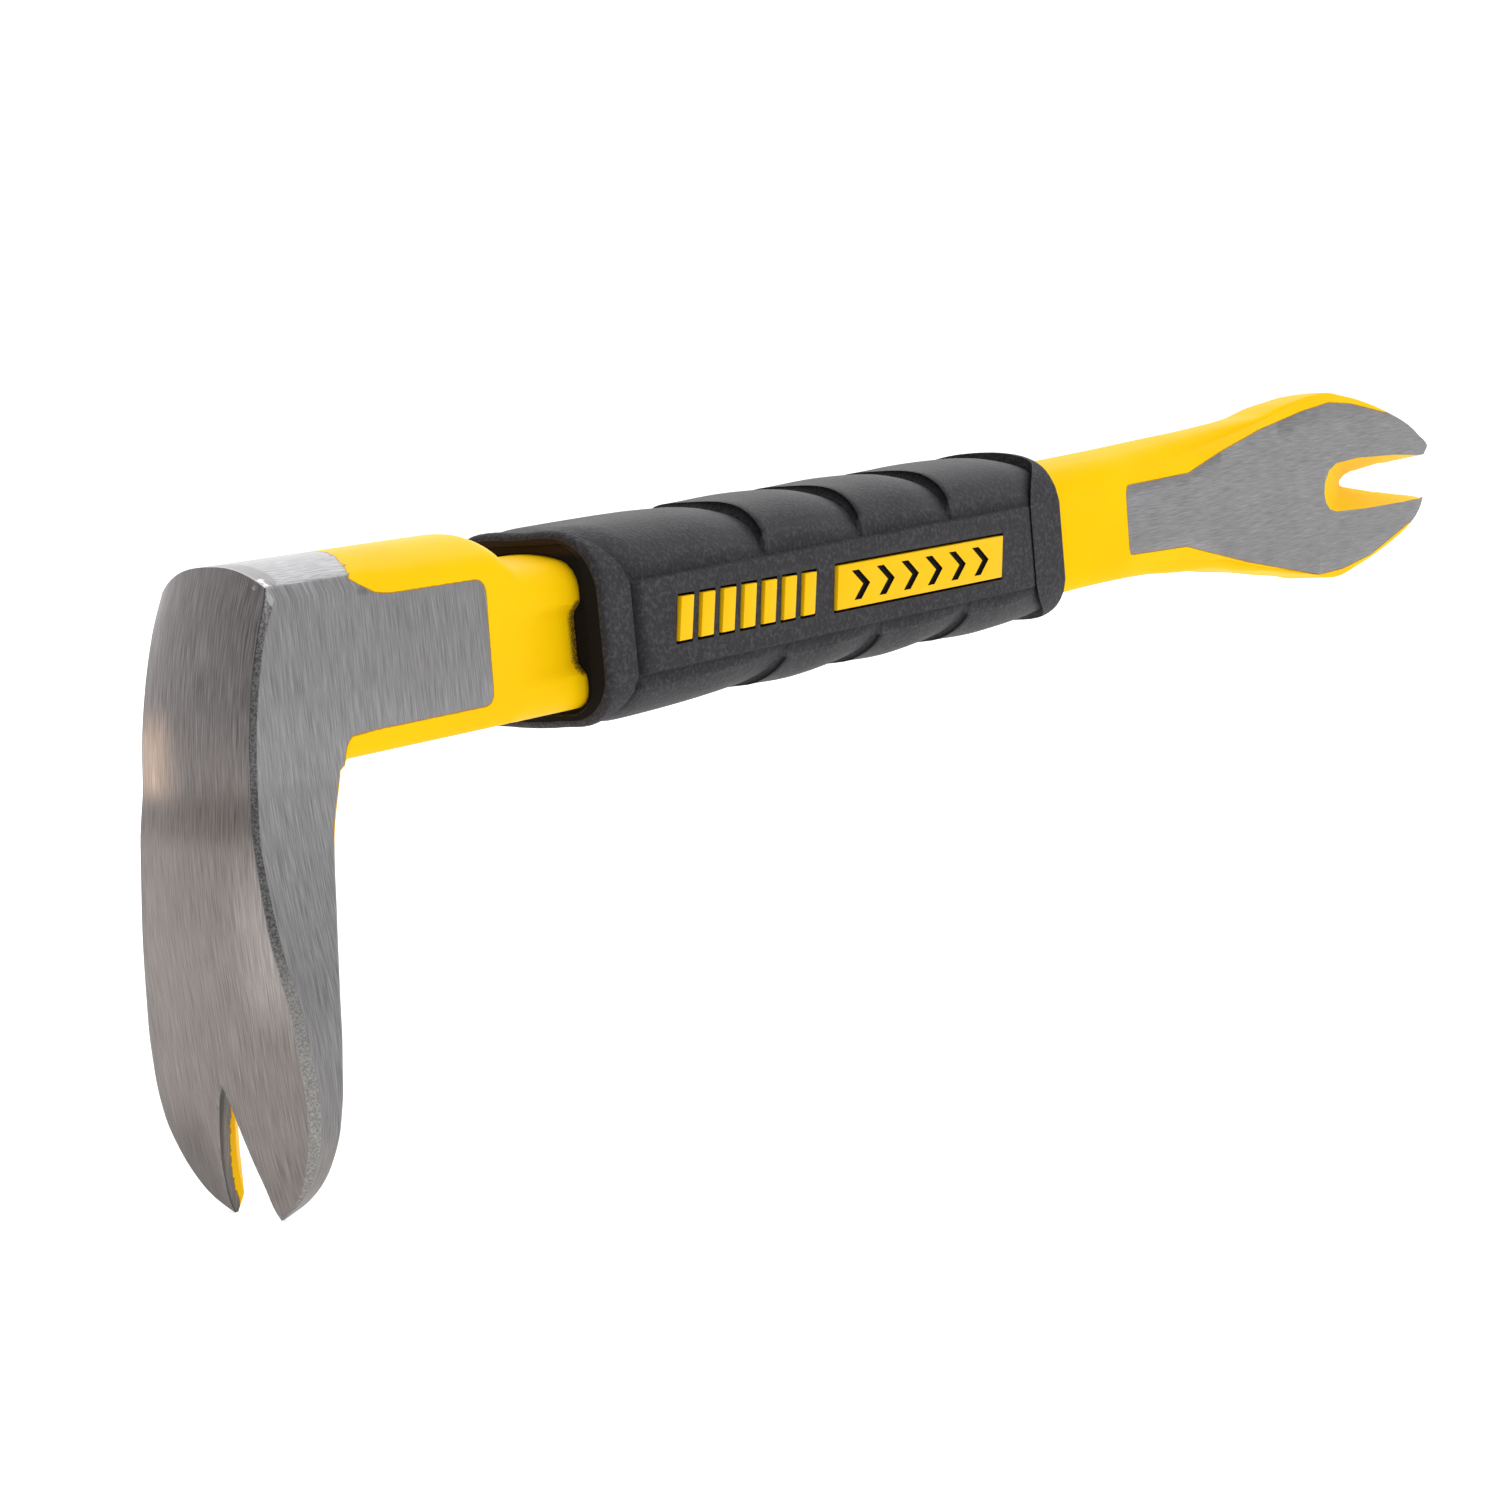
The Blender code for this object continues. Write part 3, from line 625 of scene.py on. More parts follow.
class Nodes:
    """A short way to write node trees."""

    def __init__(self, tree):
        self.tree = tree

    def put(self, target, value):
        if isinstance(value, bpy.types.NodeSocket):
            self.tree.links.new(value, target)
        elif target.type == "RGBA":
            target.default_value = (*value, 1.0)
        else:
            target.default_value = value

    def add(self, kind, inputs=(), **settings):
        """A new node with these settings. inputs: pairs of an input's number or name and value."""
        node = self.tree.nodes.new("ShaderNode" + kind)
        for name, value in settings.items():
            setattr(node, name, value)
        for key, value in inputs:
            self.put(node.inputs[key], value)
        return node

    def math(self, operation, a, b=0.0):
        return self.add("Math", enumerate((a, b)), operation=operation).outputs[0]

    def times(self, first, *others):
        for other in others:
            first = self.math("MULTIPLY", first, other)
        return first

    def mix_value(self, factor, a, b):
        return self.add("Mix", zip((0, 2, 3), (factor, a, b))).outputs[0]

    def mix_colour(self, factor, a, b, blend="MIX"):
        inputs = zip((0, 6, 7), (factor, a, b))
        return self.add("Mix", inputs, data_type="RGBA", blend_type=blend).outputs[2]

    def range(self, value, low, high, to_low=0.0, to_high=1.0, kind="SMOOTHSTEP"):
        inputs = enumerate((value, low, high, to_low, to_high))
        return self.add("MapRange", inputs, interpolation_type=kind).outputs[0]

    def around(self, value, swing):
        """A noise value spread evenly about 1."""
        return self.range(value, 0.3, 0.7, 1.0 - swing, 1.0 + swing, kind="LINEAR")

    def vector(self, operation, *values):
        return self.add("VectorMath", enumerate(values), operation=operation).outputs

    def position(self):
        """Object coordinates in millimetres, in the X values of the tables."""
        coords = self.add("TexCoord").outputs["Object"]
        return self.vector("MULTIPLY_ADD", coords, (1 / MM,) * 3, (CENTRE_X, 0.0, 0.0))[0]

    def split(self, vector):
        return self.add("SeparateXYZ", [(0, vector)]).outputs

    def stretch(self, vector, scale):
        return self.vector("MULTIPLY", vector, scale)[0]

    def noise(self, vector, scale, detail=2.0, roughness=0.5):
        inputs = {"Vector": vector, "Scale": scale, "Detail": detail, "Roughness": roughness}
        return self.add("TexNoise", inputs.items()).outputs["Fac"]

    def attribute(self, name):
        return self.add("Attribute", attribute_name=name).outputs["Fac"]

    def bump(self, height, distance):
        inputs = {"Height": height, "Distance": distance * MM}
        return self.add("Bump", inputs.items()).outputs[0]


class Material(Nodes):
    def __init__(self, name):
        self.material = bpy.data.materials.new(name)
        self.material.use_nodes = True
        super().__init__(self.material.node_tree)

    def set(self, **inputs):
        shader = self.tree.nodes["Principled BSDF"]
        for name, value in inputs.items():
            self.put(shader.inputs[name.replace("_", " ")], value)


def brush_grain(n, where, on_fork, front, on_top):
    """Fine lines along Z on the leg and head, and along X on the fork and the head's top."""
    on_side, on_front, over_top, along = [
        n.noise(n.stretch(where, scale), 1.0, 3.0, 0.62)
        for scale in (
            (BRUSH, 0.0, BRUSH_RUN), (0.0, BRUSH, BRUSH_RUN), (0.4, 6.0, 0.0), (BRUSH_RUN, 0.0, BRUSH)
        )
    ]
    up = n.mix_value(on_top, n.mix_value(front, on_side, on_front), over_top)
    return n.mix_value(on_fork, up, along)


def steel_tone(n, where, grain, on_fork, front, on_top):
    """How bright the bare steel is: its grain, soft clouds, and painted light and shade by place, with a
    painted highlight on the head's top.
    """
    _, y, z = n.split(where)
    coarse_up = n.noise(n.stretch(where, (1.1, 1.1, 0.06)), 1.0)
    coarse_along = n.noise(n.stretch(where, (0.06, 1.1, 1.1)), 1.0)
    coarse = n.mix_value(on_fork, coarse_up, coarse_along)
    cloud = n.noise(where, 0.12)
    tone = n.times(n.around(grain, 0.38), n.around(coarse, 0.05), n.around(cloud, 0.04))
    # Painted shade: darker low down and high on the head's sides, not on the front's upper part, darker at
    # the far tip and low on the fork
    shade = n.times(n.range(z, 34.0, 10.0, 1.0, 0.82), n.range(z, 44.0, 52.0, 1.0, 0.9))
    shade = n.math("MAXIMUM", shade, n.times(n.range(z, 30.0, 40.0), front))
    tip = n.times(n.range(y, 0.5, 6.0), n.range(z, 15.0, 4.0))
    shade = n.times(shade, n.range(tip, 0.0, 1.0, 1.0, 0.62))
    shade = n.mix_value(on_fork, shade, n.range(z, 54.0, 42.0, 0.95, 0.88))
    # Painted highlight: the head's top is brighter
    return n.times(tone, shade, n.range(on_top, 0.0, 1.0, 1.0, 1.32))


def steel_colour(n, where, fine, front):
    """Colour of the bare steel: the leg's front browner and lighter up the heel, with a pale and a beige
    painted reflection on it, and a painted glint on the chip at the head's corner.
    """
    _, y, z = n.split(where)
    steel = n.mix_colour(front, STEEL_SIDE, STEEL_FRONT)
    heel = n.mix_colour(n.range(z, 38.0, 56.0), steel, STEEL_HEEL)
    steel = n.mix_colour(front, steel, heel)
    # Painted reflection: a pale band on the front's near side, about 26 to 31 mm up
    pale_reflection = n.times(n.range(y, -3.5, -8.5), n.range(z, 16.0, 26.0), n.range(z, 40.0, 31.0), front)
    steel = n.mix_colour(n.times(pale_reflection, 0.8), steel, STEEL_REFLECTION_PALE)
    # Painted reflection: a beige band on the front's far side, about 43 to 46 mm up
    beige_reflection = n.times(n.range(y, 0.5, 6.0), n.range(z, 40.0, 43.5), n.range(z, 52.0, 46.0), front)
    steel = n.mix_colour(beige_reflection, steel, STEEL_REFLECTION_BEIGE)
    # A worn chip at the head's corner, painted as a bright glint
    chip_glint = n.vector("DISTANCE", n.stretch(where, CHIP_STRETCH), CHIP_AT)["Value"]
    chip_glint = n.range(n.math("ADD", chip_glint, n.times(fine, 1.5)), 1.6, 1.35)
    return n.mix_colour(chip_glint, steel, STEEL_CHIP_GLINT)


def forged_colour(n, where, fine):
    """The rough strip beside the leg's front, pale towards the tips."""
    _, _, z = n.split(where)
    pits = n.range(n.noise(where, 4.5, 3.0, 0.7), 0.36, 0.64)
    low = n.range(n.math("ADD", z, n.times(fine, 6.0)), 33.0, 26.0)
    return n.mix_colour(low, n.mix_colour(pits, *FORGED_DARK), n.mix_colour(pits, *FORGED_PALE))


def coat_colour(n, where, rim):
    """Yellow powder coat, brown at its ground edge, with painted shade where the bar enters the grip's
    mouth.
    """
    x, _, z = n.split(where)
    patch = n.range(n.noise(where, 0.09, 1.0), 0.35, 0.65)
    coat = n.mix_colour(n.times(patch, 0.35), YELLOW, YELLOW_DEEP)
    coat = n.mix_colour(rim, coat, EDGE_BROWN)
    # Painted shade on the bar at and just inside the grip's mouth, over its side recess, with a blotchy
    # edge
    mouth_shade = n.times(n.range(x, -82.0, -79.8), n.range(x, -76.0, -77.0))
    recess = n.times(n.range(z, 45.6, 47.4), n.range(z, 56.2, 54.4))
    mouth_shade = n.math("ADD", n.times(mouth_shade, recess), n.noise(where, 5.5, 3.0, 0.7))
    return n.mix_colour(n.range(mouth_shade, 1.15, 1.6), coat, MOUTH_SHADE)


def bar_material(walls=False):
    """Powder coat, ground away to brushed steel where the mesh's ground value is positive."""
    n = Material("notch_walls" if walls else "coated_steel_look")
    where = n.position()
    x, _, z = n.split(where)
    fine = n.noise(where, 1.6, 3.0, 0.6)
    jag = n.attribute("jag")
    if walls:
        bend = n.math("POWER", math.e, n.times(z, WALL_FRONT[2]))
        depth = n.math("SUBTRACT", n.math("SUBTRACT", x, WALL_FRONT[0]), n.times(bend, WALL_FRONT[1]))
        ground = n.math("SUBTRACT", WALL_BARE, depth)
        wobble = n.math("SUBTRACT", fine, 0.5)
    else:
        ground = n.attribute("ground")
        wobble = n.times(n.math("SUBTRACT", fine, 0.5), jag)
    ground = n.math("ADD", ground, wobble)
    bare = n.range(ground, -0.03, 0.03)
    rim = n.range(n.math("ABSOLUTE", n.math("ADD", ground, 0.02)), 0.03, 0.16, 1.0, 0.0)

    on_fork = n.range(x, -5.0, 5.0)
    front = n.range(n.attribute("broad"), 0.2, 0.8)
    on_top = n.range(jag, 1.0, 1.5)
    grain = brush_grain(n, where, on_fork, front, on_top)
    tone = steel_tone(n, where, grain, on_fork, front, on_top)
    steel = n.mix_colour(1.0, steel_colour(n, where, fine, front), tone, blend="MULTIPLY")
    if walls:
        # The leg slit's bare walls are darkened, most near the front edge
        wall_lightness = n.mix_value(on_fork, n.range(depth, 0.1, 0.35, 0.4, 0.75), 1.0)
        steel = n.mix_colour(wall_lightness, WALL_DARK, steel)
    else:
        rough = n.range(n.attribute("bevel"), 0.72, 0.9)
        steel = n.mix_colour(rough, steel, forged_colour(n, where, fine))
    n.set(
        Base_Color=n.mix_colour(bare, coat_colour(n, where, rim), steel),
        Metallic=bare,
        Roughness=n.mix_value(bare, 0.45, n.range(grain, 0.3, 0.7, 0.36, 0.5, kind="LINEAR")),
        Specular_IOR_Level=n.range(x, -60.0, 10.0, 0.06, 0.015),
    )
    coat_height = n.math("ADD", n.times(n.noise(where, 1.1), 0.012), 0.05)
    n.set(Normal=n.bump(n.mix_value(bare, coat_height, n.times(grain, 0.02)), 1.0))
    return n.material


def plastic_material():
    n = Material("core_plastic_look")
    where = n.position()
    colour = n.mix_colour(n.noise(where, 0.4), YELLOW, YELLOW_DEEP)
    n.set(Base_Color=colour, Roughness=0.5, Specular_IOR_Level=0.12)
    n.set(Normal=n.bump(n.noise(where, 3.0, 3.0), 0.03))
    return n.material


def rubber_material():
    """Black rubber with pale specks, grainy where grain is 1, and darker and less glossy with painted shade
    in the creases.
    """
    n = Material("sleeve_rubber_look")
    where = n.position()
    grain = n.attribute("grain")
    crease_shade = n.attribute("crease_shade")
    fine = n.noise(where, 2.2, 3.0, 0.6)
    base = n.mix_colour(n.range(n.noise(where, 0.25, 3.0), 0.3, 0.7), *RUBBER)
    speck = n.times(n.range(fine, 0.46, 0.66), n.mix_value(grain, 0.25, 0.6))
    # Painted shade in the creases: darker colour and less gloss
    base = n.mix_colour(crease_shade, n.mix_colour(speck, base, RUBBER_SPECK), RUBBER_CREASE_SHADE)
    n.set(
        Base_Color=base,
        Specular_IOR_Level=n.mix_value(crease_shade, 0.37, 0.05),
        Roughness=n.mix_value(grain, 0.55, 0.7),
        Normal=n.bump(n.times(fine, n.mix_value(grain, 0.06, 0.26)), 1.0),
    )
    return n.material


def dark_material():
    """Darker, less glossy rubber: painted shade in the mouth, on the sleeve's ends and in the windows,
    browner at the mouth's top, and the black of the chevrons sunk in the core.
    """
    n = Material("recess_rubber_look")
    where = n.position()
    x, _, z = n.split(where)
    brown = n.times(n.range(z, 59.2, 60.2), n.range(x, -76.0, -78.0))
    colour = n.mix_colour(brown, RECESS_SHADE, RECESS_SHADE_BROWN)
    n.set(Base_Color=colour, Roughness=0.8, Specular_IOR_Level=0.08)
    n.set(Normal=n.bump(n.noise(where, 2.6, 3.0), 0.05))
    return n.material


def floor_material():
    n = Material("floor_white")
    shade = n.noise(n.position(), 0.004, 1.0)
    n.set(Base_Color=n.mix_colour(shade, *FLOOR), Roughness=0.9, Specular_IOR_Level=0.0)
    n.set(Emission_Color=(1.0, 1.0, 1.0), Emission_Strength=FLOOR_GLOW)
    return n.material


# Bar

# Vertex values: distance into the bare ground, raggedness of the coating's edge, the rough
# forged strip beside the leg's front, and the leg's broad front itself
BAR_VALUES = ("ground", "jag", "bevel", "broad")
CUTTER_VALUES = (3.0, 0.0, 0.0, 1.0)
GROUND_LIMIT = 3.0
EDGE_JAG = 0.16
TOP_JAG = 1.6
TOP_EDGE = (-108.0, 0.36)  # the coating's edge on the head's top: X at the middle, and slant
TOP_EDGE_END = -120.0
BACK_COAT = (0.12, 6.0)  # how far the bare sides reach past the back edge, and their scale
BACK_BARE = (37.0, 6.0, 1.2)  # below this height, over this much, they reach further by this much


def bar_values(rings_info):
    """ground, jag, bevel and broad values for each vertex of the bar, ring by ring."""
    ground, jag, bevel, broad = [], [], [], []
    head = rounded_outline(HEAD_GROUND)
    fork = rounded_outline(FORK_GROUND)
    for kind, ring in rings_info:
        points = np.array(ring)
        outline = fork if kind == "fork" else head
        value = inside_distance(outline, points[:, [0, 2]])
        count = len(ring)
        index = np.arange(count)
        index = np.where(index > HALF_COUNT, count - index, index)
        ragged = np.full(count, EDGE_JAG)
        forged = np.zeros(count)
        if kind in ("leg", "heel"):
            span = SIDE_END - EDGE_END
            start, fade, most = BACK_BARE
            further = np.clip((start - points[:, 2]) / fade, 0.0, 1.0) * most
            from_back = (SIDE_END - index) / span * BACK_COAT[1] + BACK_COAT[0] + further
            value = np.where(index > EDGE_END, np.minimum(value, from_back), value)
            on_bevel = (index >= CROWN_END) & (index <= EDGE_END)
            forged = np.where(on_bevel & (points[:, 0] < HEEL_X - 0.1), 1.0, 0.0)
        if kind in ("heel", "head"):
            # The coating's edge runs aslant over the top
            top = (index <= CROWN_END) & (points[:, 0] > TOP_EDGE_END)
            edge = TOP_EDGE[0] + TOP_EDGE[1] * points[:, 1]
            value = np.where(top, edge - points[:, 0], value)
            ragged = np.where(top, TOP_JAG, ragged)
        if kind == "seat":
            value = np.full(count, -GROUND_LIMIT)
        ground.append(np.clip(value, -GROUND_LIMIT, GROUND_LIMIT))
        jag.append(ragged)
        bevel.append(forged)
        front = (index <= CROWN_END) & (points[:, 0] < HEEL_X)
        broad.append(np.where(front & (kind in ("leg", "heel")), 1.0, 0.0))
    return [np.concatenate(v) for v in (ground, jag, bevel, broad)]


def strip_cutter(name, loops):
    """A closed cutter through loops that fold back on themselves, with steel on its faces."""
    bm = bmesh.new()
    made = skin(bm, loops)
    cap(bm, made[0], paired=1)
    cap(bm, made[-1], paired=1)
    obj = finish_mesh(name, bm)
    for attribute, value in zip(BAR_VALUES, CUTTER_VALUES):
        set_attribute(obj, attribute, value)
    return obj


def leg_notch():
    """Straight walls behind the leg's front, then a countersink that widens to the back."""
    width_at = curve([-p[0] for p in LEG_SLIT], [p[1] for p in LEG_SLIT])
    slit_top = LEG_SLIT[0][0]
    loops = []
    for stage in ("outside", "land", "back", "past"):
        side = []
        for z in LEG_SLIT_HEIGHTS:
            half = width_at(-z)
            level = max(z, 0.0)
            front = leg_front(level) - LEG_AT[3](level)
            back = LEG_AT[1](level)
            top = z
            if stage == "outside":
                x = front - CUT_PAST
            elif stage == "land":
                x = front + LEG_LAND
            else:
                sunk = max(0.0, back - front - LEG_LAND)
                share = max(0.0, z / slit_top)
                top = z + (LEG_SINK_TOP - slit_top) * share**2
                half += LEG_SINK_FLARE * sunk * (1 - share**6)
                if z == slit_top:
                    half += 0.02  # the tip is never quite sharp
                x = max(back, front + LEG_LAND + LEG_SINK_MIN)
                if sunk > LEG_SINK_MIN:
                    x = LEG_AT[1](max(top, 0.0))
                if stage == "past":
                    x += CUT_PAST
            side.append((x, half, top))
        loops.append(side + [(x, -y, z) for x, y, z in reversed(side[:-1])])
    return strip_cutter("leg_notch", loops)


def fork_notch():
    """Tapered from the near face's opening to the far face's."""
    front = []
    rear = []
    for (fx, fz), (rx, rz) in zip(FORK_FRONT, FORK_REAR):
        a = Vector((fx, -FORK_AT[2](fx), fz))
        b = Vector((rx, FORK_AT[2](rx), rz))
        run = b - a
        front.append(a - run * (FORK_CUT_PAST / run.length))
        rear.append(b + run * (FORK_CUT_PAST / run.length))
    return strip_cutter("fork_notch", [front, rear])


def build_bar(surface, walls):
    info = [("leg", leg_ring(z)) for z in spaced(0.0, LEG_TOP, RING_STEP)]
    info += [("heel", ring) for ring in heel_rings()]
    for x in spaced(HEAD_START_X, SHANK[-1][0], RING_STEP):
        flat = 1.0 - ease((x - HEAD_START_X) / HEAD_BEVEL_FADE)
        info.append(("head", straight_ring(x, SHANK_AT, flat=flat)))
    info += [("seat", seat_ring(x)) for x in SEAT[:2]]
    for x in spaced(FORK[0][0], FORK_X - INSIDE, RING_STEP):
        info.append(("fork", straight_ring(x, FORK_AT, SHOULDER_AT)))
    bm = bmesh.new()
    loops = skin(bm, [ring for _, ring in info])
    cap(bm, loops[0])
    cap(bm, loops[-1])
    bar = finish_mesh("claw_bar_steel", bm)
    for name, values in zip(BAR_VALUES, bar_values(info)):
        set_attribute(bar, name, values)
    link(bar, surface)
    for cutter in (leg_notch(), fork_notch()):
        cut_with(bar, cutter, walls)
    sharpen(bar, 28.0)
    return bar


# Grip

def ring_of_quarter(quarter, half_width):
    side = quarter + [(half_width, 0.0)] + [(y, -z) for y, z in reversed(quarter)]
    return side + [(-y, z) for y, z in reversed(side[1:-1])]


CROWN_AT = curve([p[0] for p in SLEEVE_CROWN], [-p[1] for p in SLEEVE_CROWN])
CROWN_POINTS = 16
PANEL_POINTS = 4
BORE_CORNER_STEPS = 9
RIM_STEPS = 4
SCALE_STEPS = 26
QUARTER_COUNT = CROWN_POINTS + 2 + PANEL_POINTS
# Painted shade at the foot of the panels' ledges
LEDGE_SHADE = 0.45
LEDGE_POINTS = [
    CROWN_POINTS + 1,
    2 * QUARTER_COUNT - CROWN_POINTS - 1,
    2 * QUARTER_COUNT + CROWN_POINTS + 1,
    4 * QUARTER_COUNT - CROWN_POINTS - 1,
]


def crown_quarter(half_width, half_height, dips, blend, groove, ledge):
    """From the top middle to just above the side's middle. dips: at the middle, at the corner."""
    quarter = []
    last = SLEEVE_CROWN[-1][0]
    for i in range(CROWN_POINTS + 1):
        across = last * math.sin(math.pi / 2 * i / CROWN_POINTS) ** 0.9
        up = -CROWN_AT(across)
        dip = mix(dips[0], dips[1], ease((across - blend[0]) / blend[1]))
        quarter.append((half_width * across - dip * across * up * 0.8, (half_height - dip) * up))
    side = half_width - groove
    quarter.append((side - ledge, PANEL_HALF_HEIGHT + PANEL_LEDGE))
    for i in range(PANEL_POINTS):
        quarter.append((side, PANEL_HALF_HEIGHT * (1 - i / PANEL_POINTS)))
    return quarter


def sleeve_ring(x_at, top=(0.0, 0.0), low=(0.0, 0.0), groove=0.0, shrink=0.0, ledge=0.05):
    """One outer ring. x_at gives X from y as a share of the half width."""
    half_width = GRIP_HALF_WIDTH - shrink
    half_height = GRIP_HALF_HEIGHT - shrink
    near = max(0.0, 1.0 - (x_at(0.0, False) - GRIP_NEAR_X) / NEAR_FLAT[0]) * NEAR_FLAT[1]
    dips = (top[0] + near, top[1])
    upper = crown_quarter(half_width, half_height, dips, TOP_BLEND, groove, ledge)
    dips = (low[0] + LOW_FLAT, low[1])
    lower = crown_quarter(half_width, half_height, dips, LOW_BLEND, groove, ledge)
    side = upper + [(half_width - groove, 0.0)] + [(y, -z) for y, z in reversed(lower)]
    ring = []
    for y, z in side + [(-y, z) for y, z in reversed(side[1:-1])]:
        x = x_at(y / GRIP_HALF_WIDTH, z < 0)
        t = (x - GRIP_NEAR_X) / (GRIP_FAR_X - GRIP_NEAR_X)
        drop = PANEL_DROP * (1.0 - (z / half_height) ** 2)
        ring.append((x, y, GRIP_MID_Z + mix(-GRIP_RISE, GRIP_RISE, t) + z - drop))
    return ring


def rounding(radius, steps):
    """(across, along) distances from a sharp corner, along an arc."""
    turns = [math.pi / 2 * i / steps for i in range(steps + 1)]
    return [(radius * (1 - math.sin(a)), radius * (1 - math.cos(a))) for a in turns]


def rim_sweep(across):
    """How far the creases of the rims have swept inwards, 0 to 1 at the panels."""
    return max(0.0, (across - RIM_SWEEP_START) / (1.0 - RIM_SWEEP_START)) ** 1.3


def crease(i, y, below):
    """X of a crease between the rims and the scales, by the share of the half width."""
    across = abs(y)
    if i == 0:
        return CREASES[0] + RIM_SWEEP[0] * rim_sweep(across)
    if i == len(CREASES) - 1:
        return CREASES[-1] - RIM_SWEEP[1] * rim_sweep(across)
    if below:
        return CREASES[i] + LOW_SHIFT + LOW_BOW * across**2
    return CREASES[i] + SCALE_BOW[y > 0] * across**2


def sleeve_outside():
    """Rings of the sleeve's outer face, each with how grainy it is away from the panel and how much painted
    shade its crease gives it.
    """
    rings = []
    last = len(CREASES) - 1
    for across, along in rounding(RIM_ROUND, RIM_STEPS):
        rings.append((sleeve_ring(lambda a, b, x=GRIP_NEAR_X + along: x, shrink=across), 1.0, 0.0))
    for t in (0.35, 0.7, 1.0):
        start = GRIP_NEAR_X + RIM_ROUND
        rings.append((sleeve_ring(lambda a, b, t=t: mix(start, crease(0, a, b), t)), 1.0, 0.0))
    for i in range(last):
        length = CREASES[i + 1] - CREASES[i]
        run = FRONT_RUN if i else RIM_RUN
        fronts = SCALE_FRONT if i else RIM_FRONT
        for k in range(SCALE_STEPS + 1):
            past = 0.5 - 0.5 * math.cos(math.pi * k / SCALE_STEPS)
            front = 1.0 - ease(past * length / run)
            top = [f * front + t * past**p for f, t, p in zip(fronts, SCALE_TAIL, TOP_POWERS)]
            low = [f * front + t * past**p for f, t, p in zip(LOW_FRONT, LOW_TAIL, LOW_POWERS)]
            groove = 0.0
            if i == 0:
                groove = PANEL_GROOVE * max(0.0, 1.0 - past * length / GROOVE_RUN[0])
            if i == last - 1:
                groove = PANEL_GROOVE * max(0.0, 1.0 - (1.0 - past) * length / GROOVE_RUN[1])
            ring = sleeve_ring(
                lambda a, b, i=i, p=past: mix(crease(i, a, b) + STEP_RUN, crease(i + 1, a, b), p),
                top, low, groove, ledge=PANEL_LEDGE,
            )
            # Painted shade along each crease, fading away from it
            crease_shade = max(0.0, 1.0 - past * length / CREASE_SHADE_RUN[0 if i == 0 else 1])
            rings.append((ring, 0.5, crease_shade))
    end = GRIP_FAR_X - RIM_ROUND
    for t in (0.0, 0.35, 0.7):
        ring = sleeve_ring(lambda a, b, t=t: mix(crease(last, a, b) + STEP_RUN * 0.6, end, t))
        rings.append((ring, 1.0, 0.0))
    for across, along in reversed(rounding(RIM_ROUND, RIM_STEPS)):
        rings.append((sleeve_ring(lambda a, b, x=GRIP_FAR_X - along: x, shrink=across), 1.0, 0.0))
    return rings


def bore_ring(x, half_width, half_height, corner, mid_z):
    """A rounded rectangle with as many points as sleeve_ring."""
    arc = rounding(corner, BORE_CORNER_STEPS)
    flat = QUARTER_COUNT - PANEL_POINTS - len(arc)
    quarter = [((half_width - corner) * i / flat, half_height) for i in range(flat)]
    quarter += [(half_width - across, half_height - along) for across, along in arc]
    for i in range(PANEL_POINTS):
        quarter.append((half_width, (half_height - corner) * (1 - (i + 1) / (PANEL_POINTS + 1))))
    return [(x, y, mid_z + z) for y, z in ring_of_quarter(quarter, half_width)]


def sleeve_bore():
    mouth_x = GRIP_NEAR_X + MOUTH_DEPTH[1]
    near_x = CORE[0] - GAP
    far_x = CORE[1] + GAP
    return [
        bore_ring(GRIP_NEAR_X, *LIP, NEAR_MID_Z),
        bore_ring(GRIP_NEAR_X + MOUTH_DEPTH[0], *MOUTH, NEAR_MID_Z),
        bore_ring(mouth_x, *MOUTH, NEAR_MID_Z),
        bore_ring(mouth_x + BORE_STEP, *NECK, NEAR_MID_Z),
        bore_ring(near_x, *NECK, NEAR_MID_Z),
        bore_ring(near_x + BORE_STEP, *CORE_BORE, GRIP_MID_Z),
        bore_ring(far_x, *CORE_BORE, GRIP_MID_Z),
        bore_ring(far_x + BORE_STEP, *FAR_BORE, FAR_MID_Z),
        bore_ring(GRIP_FAR_X, *FAR_BORE, FAR_MID_Z),
    ]


def mark_shapes(grow):
    """(left, right, half height) of each raised mark in the row."""
    shapes = []
    for i in range(BAR_MARK_COUNT):
        left = BAR_MARK_X + i * BAR_MARK_PITCH
        shapes.append((left - grow, left + BAR_MARK_WIDTH + grow, BAR_MARK_HEIGHT / 2 + grow))
    shapes.append((BLOCK_X[0] - grow, BLOCK_X[1] + grow, BLOCK_HEIGHT / 2 + grow))
    return shapes


def prism(bm, outline, y0, y1):
    """A closed prism from an (x, z) outline between two y values."""
    rings = [[(x, y, z) for x, z in outline] for y in (y0, y1)]
    loops = skin(bm, rings)
    bm.faces.new(loops[0])
    bm.faces.new(loops[1])


def slanted(left, right, half):
    return [
        (left - MARK_SLANT, MARK_MID_Z - half),
        (right - MARK_SLANT, MARK_MID_Z - half),
        (right + MARK_SLANT, MARK_MID_Z + half),
        (left + MARK_SLANT, MARK_MID_Z + half),
    ]


def chevrons():
    """Outlines of the generic chevrons sunk in the block."""
    outlines = []
    top = MARK_MID_Z + CHEVRON_HALF_HEIGHT
    bottom = MARK_MID_Z - CHEVRON_HALF_HEIGHT
    for i in range(CHEVRON_COUNT):
        left = CHEVRON_X + CHEVRON_PITCH * i
        right = left + CHEVRON_STROKE
        point = (left + CHEVRON_DEPTH, MARK_MID_Z)
        back = (right + CHEVRON_DEPTH, MARK_MID_Z)
        outlines.append([(left, top), point, (left, bottom), (right, bottom), back, (right, top)])
    return outlines


